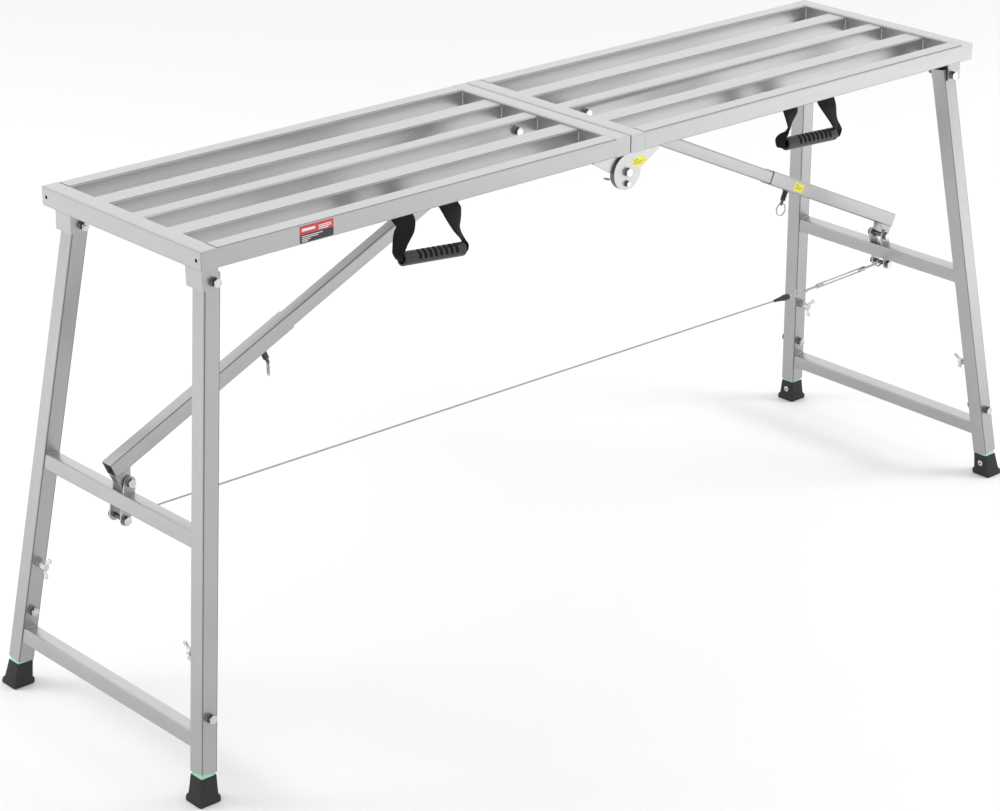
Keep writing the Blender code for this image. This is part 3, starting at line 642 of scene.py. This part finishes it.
def wing_piece(name, hub_at, axis, body, replaces, shank, tail, turn):
    """A cast wing bolt and its threads; axis points away from the clamped face."""
    axis = axis.normalized()
    u, v = frame_of(axis)
    spin = Matrix.Rotation(math.radians(turn), 3, axis)
    u = spin @ u
    v = spin @ v
    base = hub_at - axis * 6.5 * MM
    half = 1.7 * MM
    mesh = bmesh.new()
    for way in (-1, 1):
        rings = []
        for depth in (-half, -half * 0.5, half * 0.5, half):
            thin = 1.0 if abs(depth) < half else 0.86
            ring = []
            for point in wing_outline():
                out = point.x * (1.0 if point.x < 6 * MM else thin ** 0.5)
                ring.append(hub_at + u * (way * out) + axis * point.y + v * depth)
            rings.append(ring)
        add_loft(mesh, rings)
    add_turned(mesh, base, axis, in_mm([(0, 6.3), (0.5, 6.6), (8.5, 5.5), (9.5, 4.4)]), 32)
    made = finish_piece(name, mesh, ZINC, body, 40.0, replaces)
    remesh = made.modifiers.new("cast", "REMESH")
    remesh.mode = "VOXEL"
    remesh.voxel_size = 0.00045
    remesh.use_smooth_shade = True
    relax = made.modifiers.new("soften", "SMOOTH")
    relax.factor = 0.5
    relax.iterations = 5
    mesh = bmesh.new()
    add_thread(mesh, base, -axis, BOLT_RADIUS, shank, BOLT_PITCH)
    if tail:
        add_thread(mesh, hub_at + axis * 2 * MM, axis, BOLT_RADIUS, tail, BOLT_PITCH)
    finish_piece(name + "_thread", mesh, ZINC_DULL, body, 28.0)


def wing_bolts():
    """The leg clamps and the wing nuts of the centre hinge's lock bolts."""
    turns = {"left_front": 80.0, "left_rear": 76.0, "right_front": 66.0, "right_rear": 70.0}
    for key, turn in turns.items():
        at, axis = joint_at(f"wing_turn_{key}")
        wing_piece(f"leg_wing_{key}", at + axis * 7.5 * MM, axis, f"wing_bolt_{key}",
                   (f"leg_wing_bolt_{key}",), 14.0 * MM, 0.0, turn)
    for end_name, end in ENDS:
        node = f"hinge_lock_bolt_{end_name}"
        low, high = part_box(node)
        at, _ = joint_at(f"lock_turn_{end_name}")
        outer, inner = (high.y, low.y) if end > 0 else (low.y, high.y)
        inward = Vector((0, -end, 0))
        body = f"lock_bolt_{end_name}"
        hub = Vector((at.x, inner + end * 5.5 * MM, at.z))
        wing_piece(f"lock_wing_{end_name}", hub, inward, body, (node,), 6.0 * MM, 4.0 * MM, 8.0)
        mesh = bmesh.new()
        face = Vector((at.x, outer - end * 4.5 * MM, at.z))
        add_hexagon(mesh, face, -inward, 4.6 * MM, 4.6 * MM)
        add_turned(mesh, face, inward, [(0, BOLT_RADIUS), (abs(face.y - hub.y), BOLT_RADIUS)], 24)
        # The head's flanks get the dark zinc as painted shade.
        finish_piece(f"lock_head_{end_name}", mesh, ZINC, body, 28.0, (),
                     (ZINC_SHADE_AND_PIN,), side_picker(Y))


# ---- feet ----
def rounded_square(centre, half, corner):
    """A level square section with round corners."""
    steps = 5
    points = []
    for turn, (a, b) in enumerate(((1, 1), (-1, 1), (-1, -1), (1, -1))):
        for step in range(steps + 1):
            angle = math.radians(90.0 * (turn + step / steps))
            x = a * (half - corner) + corner * math.cos(angle)
            y = b * (half - corner) + corner * math.sin(angle)
            points.append(centre + Vector((x, y, 0)))
    return points


def rivet_hollow(face):
    """Gives 1 for the bottom of the hollow in a rivet's head, its small round end, which gets painted shade."""
    return 1 if len(face.verts) > 6 and face.calc_area() < 3e-5 else 0


def feet():
    """The rubber shoes: straight cup, flare, sharp lip and sole, with a pale rivet."""
    # Height, half width and corner radius of the shoe's sections, mm.
    shape = ((0.0, 17.6, 2.6), (0.8, 18.9, 3.0), (3.2, 19.2, 3.0), (8.4, 18.6, 3.0),
             (9.6, 17.9, 2.8), (10.4, 16.7, 2.6), (11.4, 16.3, 2.6), (24.0, 15.2, 2.6),
             (36.0, 14.35, 2.5), (39.0, 14.1, 2.5), (39.8, 13.7, 2.4), (40.0, 13.2, 2.3))
    rivet = [(0.0, 5.2), (0.7, 5.2), (1.3, 4.3), (1.5, 2.6), (1.45, 1.9), (0.4, 1.7)]
    for side_name, side in SIDES:
        for end_name, _ in ENDS:
            key = f"{side_name}_{end_name}"
            foot_at, up = joint_at(f"leg_extend_{key}")
            slope = up / up.z

            def middle(height):
                at = foot_at + slope * (height - foot_at.z)
                return Vector((at.x, at.y, height))

            rings = []
            for height, half, corner in shape:
                rings.append(rounded_square(middle(height * MM), half * MM, corner * MM))
            mesh = bmesh.new()
            add_loft(mesh, rings)
            body = f"inner_leg_{key}"
            finish_piece(f"foot_{key}_shoe", mesh, RUBBER, body, 38.0,
                         (f"foot_{key}",))
            mesh = bmesh.new()
            aim = Vector((-side, 0, 0))
            add_turned(mesh, middle(23.0 * MM) + aim * (14.9 * MM), aim, in_mm(rivet), 28)
            finish_piece(f"foot_rivet_{key}", mesh, ZINC, body, 50.0, (),
                         (CAVITY_SHADE,), rivet_hollow)


# ---- carrying handles ----
def smooth_step(t):
    """An eased 0..1 ramp."""
    t = min(1.0, max(0.0, t))
    return t * t * (3.0 - 2.0 * t)


# Stations down each strap arm, in mm: centre x, y from the hinge line, z from the deck top, then
# the vector across the strap in x and y.
STRAP_LINES = {
    ("left", -1): (
        (-452.0, 0.0, -31.5, 41.5, 0.0), (-451.1, 0.0, -36.8, 41.0, -0.4),
        (-446.9, 0.0, -43.6, 39.6, 0.1), (-444.6, 0.0, -49.8, 34.6, -2.3),
        (-446.4, 0.3, -56.1, 34.0, -6.5), (-447.9, 1.2, -64.1, 32.2, -8.4),
        (-452.2, 0.6, -72.7, 28.3, -7.2), (-455.4, 0.0, -78.8, 23.3, -7.5),
        (-457.6, 0.0, -84.9, 16.9, -11.3), (-459.2, 0.0, -90.3, 9.6, -16.2),
        (-459.0, 0.0, -96.3, 2.9, -17.6), (-457.0, 0.0, -101.5, 0.0, -15.0),
        (-452.0, 0.0, -103.4, 0.0, -12.4), (-443.0, 0.0, -103.0, 0.0, -12.4)),
    ("left", 1): (
        (-364.0, 0.0, -31.5, 39.2, 0.0), (-361.4, 0.0, -37.2, 37.0, -0.1),
        (-355.5, 0.0, -46.2, 38.9, 3.4), (-349.1, 2.3, -59.5, 37.0, 10.7),
        (-342.3, 4.9, -73.5, 33.0, 19.8), (-342.8, 0.0, -81.5, 25.0, 22.6),
        (-338.0, 0.0, -89.9, 15.3, 14.9), (-333.6, 0.0, -96.9, 8.1, 2.3),
        (-330.0, 0.0, -103.4, 5.4, -8.2), (-328.8, 0.0, -108.2, 1.8, -13.2),
        (-329.2, 0.0, -112.5, 0.0, -13.4), (-332.0, 0.0, -115.4, 0.0, -12.4),
        (-344.0, 0.0, -114.0, 0.0, -12.4)),
    ("right", -1): (
        (379.2, 0.0, -32.0, 34.7, 0.0), (380.9, 0.0, -37.2, 32.9, -0.9),
        (384.0, 0.6, -45.9, 36.7, 7.1), (386.8, 3.6, -56.3, 32.4, 13.2),
        (386.1, 3.9, -63.2, 24.8, 13.9), (379.9, 0.0, -67.2, 11.6, 4.7),
        (375.4, 0.0, -72.6, 5.5, -4.8), (371.0, 1.5, -76.6, 5.8, -11.8),
        (362.6, 0.0, -79.7, 6.8, -14.5), (359.6, 0.0, -83.9, 8.4, -14.3),
        (360.0, 0.0, -90.2, 8.6, -13.3), (361.8, 0.0, -96.5, 6.0, -12.8),
        (366.0, 0.0, -98.6, 2.0, -12.4), (371.0, 0.0, -97.4, 0.0, -12.4),
        (380.0, 0.0, -95.8, 0.0, -12.4)),
    ("right", 1): (
        (465.1, 0.0, -32.0, 40.0, 0.0), (468.3, 0.0, -39.3, 40.2, -0.8),
        (475.4, 0.0, -50.8, 40.8, 5.2), (487.9, 4.0, -66.1, 39.8, 15.8),
        (495.4, 5.0, -77.6, 38.1, 22.4), (494.6, 0.0, -83.7, 34.8, 22.2),
        (499.2, 0.0, -89.8, 25.2, 10.8), (502.2, 0.0, -94.6, 16.6, 0.4),
        (502.6, 0.0, -98.8, 9.9, -5.4), (500.0, 0.0, -103.2, 4.4, -10.3),
        (495.0, 0.0, -104.2, 0.0, -12.4), (481.0, 0.0, -102.0, 0.0, -12.4)),
}
# Middle of each grip, mm (x, and z from the deck top), and its slope down towards +X, rad.
GRIP_LINES = {"left": (-394.0, -106.5, 0.095), "right": (431.0, -96.5, 0.052)}


def smooth_line(rows, per):
    """Rows of numbers filled in by a smooth curve through all of them."""
    filled = []
    last = len(rows) - 1
    for index in range(last):
        before = rows[max(0, index - 1)]
        after = rows[min(last, index + 2)]
        for step in range(per):
            t = step / per
            row = []
            for p0, p1, p2, p3 in zip(before, rows[index], rows[index + 1], after):
                row.append(p1 + 0.5 * t * ((p2 - p0) + t * ((2 * p0 - 5 * p1 + 4 * p2 - p3)
                                                           + t * (3 * (p1 - p2) + p3 - p0))))
            filled.append(row)
    filled.append(list(rows[-1]))
    return filled


def strap_arm(rows, line_y):
    """The path of one arm of a strap, as (point, width direction, half width)."""
    path = []
    for x, y, z, across_x, across_y in smooth_line(rows, 7):
        across = Vector((across_x * MM, across_y * MM, 0.0))
        centre = Vector((x * MM, line_y + y * MM, DECK_TOP + z * MM))
        path.append((centre, across.normalized(), across.length / 2))
    return path


def add_ribbon(mesh, path, uv_layer):
    """Adds a strap along a path, with a UV map in metres."""
    across = (-1.0, -0.97, -0.5, 0.0, 0.5, 0.97, 1.0)
    around = [(a, 1.0) for a in across] + [(a, -1.0) for a in reversed(across)]
    rings = []
    marks = []
    run = 0.0
    for index, (centre, wide, half) in enumerate(path):
        if index:
            run += (centre - path[index - 1][0]).length
        before = path[max(0, index - 1)][0]
        after = path[min(len(path) - 1, index + 1)][0]
        normal = wide.cross((after - before).normalized()).normalized()
        ring = []
        for a, way in around:
            puff = STRAP_THICK / 2 * (0.55 if abs(a) == 1.0 else 1.0) * way
            ring.append(centre + wide * (half * a) + normal * puff)
            marks.append((a * half, run))
        rings.append(ring)
    loops = add_loft(mesh, rings)
    place = dict(zip((vertex for ring in loops for vertex in ring), marks))
    for face in mesh.faces:
        for loop in face.loops:
            if loop.vert in place:
                loop[uv_layer].uv = place[loop.vert]


def handle(side_name):
    """A webbing strap, clamped under the rail, twisting into a slotted tube grip."""
    hinge, _ = joint_at(f"handle_swing_{side_name}")
    body = f"handle_{side_name}"
    mesh = bmesh.new()
    uv_layer = mesh.loops.layers.uv.new("UVMap")
    for arm in (-1, 1):
        add_ribbon(mesh, strap_arm(STRAP_LINES[(side_name, arm)], hinge.y), uv_layer)
    strap = finish_piece(f"handle_webbing_{side_name}", mesh, WEBBING, body,
                         60.0, (f"handle_strap_{side_name}",))
    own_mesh(strap)
    grip_piece(side_name, hinge.y, body)
    for arm in (-1, 1):
        place = "inner" if arm * hinge.x < 0 else "outer"
        clamp(f"{side_name}_{place}", STRAP_LINES[(side_name, arm)][0][0] * MM, hinge,
              f"deck_{side_name}")


def clamp(key, x, hinge, deck):
    """The strap's end under the rail, and the screw that holds it."""
    depth, drop, half_width = 13 * MM, 1.3 * MM, 21.0 * MM
    start = Vector((x, hinge.y + depth, hinge.z + drop))
    path = []
    for index in range(13):
        t = index / 12
        y = start.y - depth * t
        z = start.z - drop * smooth_step((t - 0.6) / 0.4)
        path.append((Vector((start.x, y, z)), X, half_width))
    mesh = bmesh.new()
    add_ribbon(mesh, path, mesh.loops.layers.uv.new("UVMap"))
    finish_piece(f"strap_tab_{key}", mesh, WEBBING, deck, 60.0)
    mesh = bmesh.new()
    head = Vector((start.x, start.y - 4 * MM, hinge.z - 0.2 * MM))
    add_turned(mesh, head, -Z, in_mm([(0, 5), (0.8, 5), (1.9, 3.4), (2.2, 1.5)]), 28)
    finish_piece(f"strap_screw_{key}", mesh, ZINC, deck, 50.0)


def grip_piece(side_name, line_y, body):
    """The moulded grip: a tube with eight slots across its upper side; painted shade makes the slots' floors and
    the bore near-black.
    """
    grip_x, grip_z, slope = GRIP_LINES[side_name]
    centre = Vector((grip_x * MM, line_y, DECK_TOP + grip_z * MM))
    along = Vector((math.cos(slope), 0, -math.sin(slope)))
    up = along.cross(Y)
    if up.z < 0:
        up = -up
    half, radius, bore = 60 * MM, 10.8 * MM, 7.8 * MM
    slots, pitch = 8, 10.3 * MM
    first = 4.5 * MM - 3.5 * pitch
    around = 72

    def circle(x, reach_at):
        ring = []
        for turn in range(around):
            angle = 2.0 * math.pi * turn / around
            reach = reach_at(math.sin(angle))
            ring.append(centre + along * x - Y * (math.cos(angle) * reach)
                        + up * (math.sin(angle) * reach))
        return ring

    rings = []
    count = int(2 * half / (0.5 * MM))
    for index in range(count + 1):
        x = -half + 2 * half * index / count
        edge = min(1.0, (half - abs(x)) / (1.6 * MM))
        outer = radius - 0.9 * MM * (1.0 - math.sqrt(max(0.0, 1.0 - (1.0 - edge) ** 2)))
        nearest = round((x - first) / pitch)
        near = abs(x - first - nearest * pitch) if 0 <= nearest < slots else 1.0
        groove = 1.0 - smooth_step((near - 2.2 * MM) / (0.6 * MM))
        rings.append(circle(x, lambda rise: outer - 2.6 * MM * groove
                            * smooth_step((rise + 0.22) / 0.20)))
    rings += [circle(x, lambda rise: bore) for x in (half, -half)]
    mesh = bmesh.new()
    add_loft(mesh, rings, closed=True)

    # Faces deep in the slots and inside the bore get painted shade.
    def pick(face):
        offset = face.calc_center_median() - centre
        apart = (offset - along * offset.dot(along)).length
        return 1 if apart < radius - 1.3 * MM and abs(offset.dot(along)) < half - 2 * MM else 0

    finish_piece(f"handle_tube_{side_name}", mesh, GRIP, body, 50.0,
                 (f"handle_grip_{side_name}",), (CAVITY_SHADE,), pick)


# ---- cable ----
def strand(start, end, radius):
    """A bmesh of laid wire rope: a lobed section that turns along its length."""
    lobes, pitch = 6, 20 * MM
    mesh = bmesh.new()
    along = end - start
    u, v = frame_of(along.normalized())
    steps = int(along.length / (1.1 * MM))
    sides = lobes * 3
    rings = []
    for index in range(steps + 1):
        t = index / steps
        twist = 2.0 * math.pi * along.length * t / pitch
        ring = []
        for side in range(sides):
            angle = 2.0 * math.pi * side / sides
            reach = radius * (0.86 + 0.14 * abs(math.cos(lobes * angle / 2.0)))
            spoke = u * math.cos(angle + twist) + v * math.sin(angle + twist)
            ring.append(start + along * t + spoke * reach)
        rings.append(ring)
    add_loft(mesh, rings)
    return mesh


def cable():
    """The wire with its thimble at the left bracket, black sleeve and eye, and the turnbuckle."""
    left, _ = joint_at("cable_turn")
    right, _ = joint_at("turnbuckle_turn")
    low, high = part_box("cable")
    hook = Vector((high.x, 0.0, low.z + 1.4 * MM))
    line = (hook - left).normalized()
    wire_start = left + line * 16 * MM
    mesh = strand(wire_start, hook - line * 40 * MM, 1.5 * MM)
    rope = finish_piece("cable_rope", mesh, ROPE, "cable_line", 70.0, ("cable",))
    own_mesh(rope)
    mesh = bmesh.new()
    add_torus(mesh, left + line * 6.3 * MM, Y, 6.6 * MM, 1.5 * MM)
    add_turned(mesh, left + line * 13 * MM, line,
               in_mm([(0, 2.0), (0.5, 2.8), (16, 2.8), (16.6, 2.0)]), 24)
    finish_piece("cable_eye", mesh, ZINC_DULL, "cable_line", 50.0)
    mesh = bmesh.new()
    profile = in_mm([(0, 1.9), (1, 2.6), (8, 3.0), (18, 4.2), (27, 5.5), (33, 5.9), (37, 5.3),
                     (39.5, 3.6), (40.2, 1.6)])
    add_turned(mesh, hook - line * 75 * MM, line, profile, 32)
    sleeve = finish_piece("cable_sleeve", mesh, FERRULE, "cable_line", 50.0)
    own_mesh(sleeve)
    mesh = bmesh.new()
    add_torus(mesh, hook - line * 12.5 * MM, Y, 6.0 * MM, 1.3 * MM)
    add_turned(mesh, hook - line * 36 * MM, line,
               in_mm([(0, 1.5), (13, 1.5), (13.4, 2.3), (18, 2.3)]), 16)
    eye = finish_piece("cable_hook", mesh, ZINC_DULL, "cable_line", 50.0)
    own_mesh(eye)
    turnbuckle(right, hook)


def turnbuckle(right, hook):
    """Eye, threaded rod, open body of two bars, second rod and its hook."""
    body = "turnbuckle_unit"
    line = (hook - right).normalized()
    total = (hook - right).length
    rod_radius, rod_length, rod_pitch = 2.2 * MM, 46 * MM, 0.9 * MM
    mesh = bmesh.new()
    add_torus(mesh, right + line * 6.6 * MM, Y, 6.2 * MM, 1.7 * MM, sides=12)
    add_thread(mesh, right + line * 12.5 * MM, line, rod_radius, rod_length, rod_pitch)
    add_thread(mesh, right + line * (total - 8 * MM), -line, rod_radius, rod_length, rod_pitch)
    add_torus(mesh, hook - line * 4.2 * MM, line.cross(Y), 5.6 * MM, 1.4 * MM, sides=12)
    finish_piece("turnbuckle_rods", mesh, ZINC_DULL, body, 45.0)
    mesh = bmesh.new()
    start = right + line * 46 * MM
    length = 130 * MM
    side = line.cross(Y).normalized()
    bar = [(0, 1.0 * MM), (1.2 * MM, 1.5 * MM), (length - 1.2 * MM, 1.5 * MM),
           (length, 1.0 * MM)]
    for way in (-1, 1):
        add_turned(mesh, start + side * (way * 3.1 * MM), line, bar, 16)
    for t0 in (0.0, length - 14 * MM):
        add_turned(mesh, start + line * t0, line,
                   in_mm([(0, 3.2), (1.0, 4.3), (13, 4.3), (14, 3.2)]), 24)
    finish_piece("turnbuckle_body", mesh, ZINC_DULL, body, 45.0,
                 ("turnbuckle",))


# ---- pull pins ----
def pull_pins():
    """Sprung pin housings with a knurled cap, and their split rings."""
    grooves = 11
    ring_radius, ring_wire = 11.2 * MM, 0.8 * MM
    for side_name, side in SIDES:
        at, down = joint_at(f"pin_pull_{side_name}")
        body = f"pin_{side_name}"
        profile = in_mm([(0.3, 5.4), (0.6, 5.8), (2.4, 5.8), (2.6, 4.8)])
        for groove in range(grooves):
            base = 3.0 * MM + groove * 1.35 * MM
            profile += [(base, 4.4 * MM), (base + 0.65 * MM, 5.0 * MM)]
        profile += in_mm([(18.2, 4.8), (18.6, 2.9), (26.4, 2.9), (27.4, 2.2)])
        mesh = bmesh.new()
        add_turned(mesh, at, down, profile, 32)
        add_turned(mesh, at - down * 1.2 * MM, down, in_mm([(0, 2.9), (1.6, 3.0)]), 24)
        finish_piece(f"pin_body_{side_name}", mesh, ZINC_SHADE_AND_PIN, body, 30.0,
                     (f"pull_pin_{side_name}",))
        facing = Y if side > 0 else Vector((0.86, -0.51, 0.0))
        middle = at + down * 24.0 * MM - Z * 11.2 * MM
        mesh = bmesh.new()
        add_torus(mesh, middle, facing, ring_radius, ring_wire, 56)
        add_torus(mesh, middle + facing * 1.5 * MM, facing, ring_radius, ring_wire, 56)
        finish_piece(f"pin_ring_{side_name}", mesh, ZINC_DULL, body, 60.0)


# ---- labels ----
def sticker(name, corner, u, v, width, height, material, body, thick=0.12 * MM):
    """A thin label with round corners that looks to the front; corner is its lower left."""
    radius = min(width, height) * 0.08
    outline = []
    for turn, (a, b) in enumerate(((1, 1), (0, 1), (0, 0), (1, 0))):
        for step in range(5):
            angle = math.radians(90.0 * (turn + step / 4))
            x = a * width + (1 - 2 * a) * radius + radius * math.cos(angle)
            y = b * height + (1 - 2 * b) * radius + radius * math.sin(angle)
            outline.append(corner + u * x + v * y)
    mesh = bmesh.new()
    add_loft(mesh, [[p - Y * 0.02 * MM for p in outline], [p - Y * thick for p in outline]])
    finish_piece(name, mesh, material, body)


def text_lines(name, corner, u, v, rows, material, body):
    """Plain bars where a label has lines of print; rows are (along, up, length, height) in mm."""
    for index, (along, up, length, height) in enumerate(rows):
        place = corner + u * (along * MM) + v * (up * MM)
        sticker(f"{name}_line_{index}", place, u, v, length * MM, height * MM, material, body,
                0.20 * MM)


def labels():
    """Plain, unlettered labels where the real bench has stickers."""
    corner = Vector((-0.6525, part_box("rail_left_front")[0].y, DECK_TOP - 27.6 * MM))
    wide = 61 * MM
    sticker("label_rail_black", corner, X, Z, wide, 25 * MM, LABEL_BLACK, "deck_left")
    sticker("label_rail_red", corner + Z * 12.6 * MM, X, Z, wide, 12.8 * MM, LABEL_RED,
            "deck_left", 0.16 * MM)
    red_lines = ((4, 17.0, 24, 4.2), (34, 19.6, 23, 1.3), (34, 17.0, 23, 1.3),
                 (34, 14.4, 18, 1.3))
    text_lines("label_rail_red", corner, X, Z, red_lines, LABEL_WHITE, "deck_left")
    black_lines = ((3.5, 9.2, 38, 1.1), (3.5, 6.6, 30, 1.1), (3.5, 4.0, 16, 1.1),
                   (3.5, 1.6, 11, 1.1))
    text_lines("label_rail_black", corner, X, Z, black_lines, LABEL_WHITE, "deck_left")
    corner = Vector((11 * MM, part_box("hinge_plate_right_front")[0].y, DECK_TOP - 55 * MM))
    sticker("label_hinge", corner, X, Z, 28 * MM, 13 * MM, LABEL_YELLOW, "deck_right")
    hinge_lines = ((3, 9.4, 9, 1.0), (3, 6.4, 21, 0.8), (3, 3.6, 16, 0.8))
    text_lines("label_hinge", corner, X, Z, hinge_lines, LABEL_BLACK, "deck_right")
    end_at, up_axis = joint_at("brace_slide_right")
    down_axis = -up_axis
    over = down_axis.cross(-Y).normalized()
    if over.z < 0:
        over = -over
    corner = end_at - down_axis * (302 * MM) - over * (8 * MM) - Y * (12.5 * MM)
    sticker("label_brace", corner, down_axis, over, 25 * MM, 15 * MM, LABEL_YELLOW,
            "sleeve_right")
    brace_lines = ((3, 10.6, 8, 1.0), (3, 7.2, 18, 0.8), (3, 4.2, 14, 0.8))
    text_lines("label_brace", corner, down_axis, over, brace_lines, LABEL_BLACK, "sleeve_right")


# ---- studio ----
def studio():
    """Pale floor, soft lights and the camera."""
    scene = bpy.context.scene
    mesh = bmesh.new()
    bmesh.ops.create_grid(mesh, x_segments=1, y_segments=1, size=30.0)
    data = bpy.data.meshes.new("floor")
    mesh.to_mesh(data)
    mesh.free()
    floor = bpy.data.objects.new("floor", data)
    scene.collection.objects.link(floor)
    made, _, shader = new_material("floor_paper", (0.70, 0.70, 0.70), 0.0, 0.9)
    shader.inputs["Specular IOR Level"].default_value = 0.1
    data.materials.append(made)
    floor.location.z = -0.0005
    world = bpy.data.worlds.new("studio")
    scene.world = world
    world.use_nodes = True
    sky = world.node_tree
    place = add(sky, "ShaderNodeTexCoord")
    facing = add(sky, "ShaderNodeVectorMath", operation="DOT_PRODUCT")
    facing.inputs[1].default_value = Vector((0.62, 0.74, 0.25)).normalized()
    sky.links.new(place.outputs["Generated"], facing.inputs[0])
    strength = span(sky, facing.outputs["Value"], 1.08, 1.50, from_low=-0.2)
    background = sky.nodes["Background"]
    background.inputs["Color"].default_value = (1.0, 1.0, 1.0, 1.0)
    sky.links.new(strength, background.inputs["Strength"])
    # Name, place, aim, size in metres and power in watts.
    lights = (
        ("right_floor", (2.9, -2.1, 1.7), (2.75, -1.95, 0.0), 1.3, 90.0),
        ("left_floor", (-2.6, 2.4, 2.2), (-2.3, 2.1, 0.0), 1.6, 70.0),
    )
    for name, place, target, size, power in lights:
        lamp = bpy.data.lights.new(name, "AREA")
        lamp.energy = power
        lamp.size = size
        holder = bpy.data.objects.new(name, lamp)
        holder.location = place
        aim = Vector(target) - Vector(place)
        holder.rotation_euler = aim.to_track_quat("-Z", "Y").to_euler()
        holder.visible_glossy = False
        scene.collection.objects.link(holder)
    heading, tilt, roll = (Matrix.Rotation(math.radians(angle), 4, axis)
                           for angle, axis in ((-42.05, "Z"), (67.51, "X"), (0.26, "Z")))
    camera_data = bpy.data.cameras.new("camera")
    camera_data.lens = 103.07
    camera_data.sensor_width = 36.0
    camera_data.clip_end = 200.0
    camera = bpy.data.objects.new("camera", camera_data)
    place = Matrix.Translation((-3.0008, -3.2217, 2.1238))
    camera.matrix_world = place @ (heading @ tilt) @ roll
    scene.collection.objects.link(camera)
    scene.camera = camera
    scene.view_settings.view_transform = "Standard"


steel_tubes()
deck_welds()
leg_welds()
hinge_welds()
fixed_bolts()
height_bolts()
wing_bolts()
feet()
for side_name, _ in SIDES:
    handle(side_name)
cable()
pull_pins()
labels()
studio()
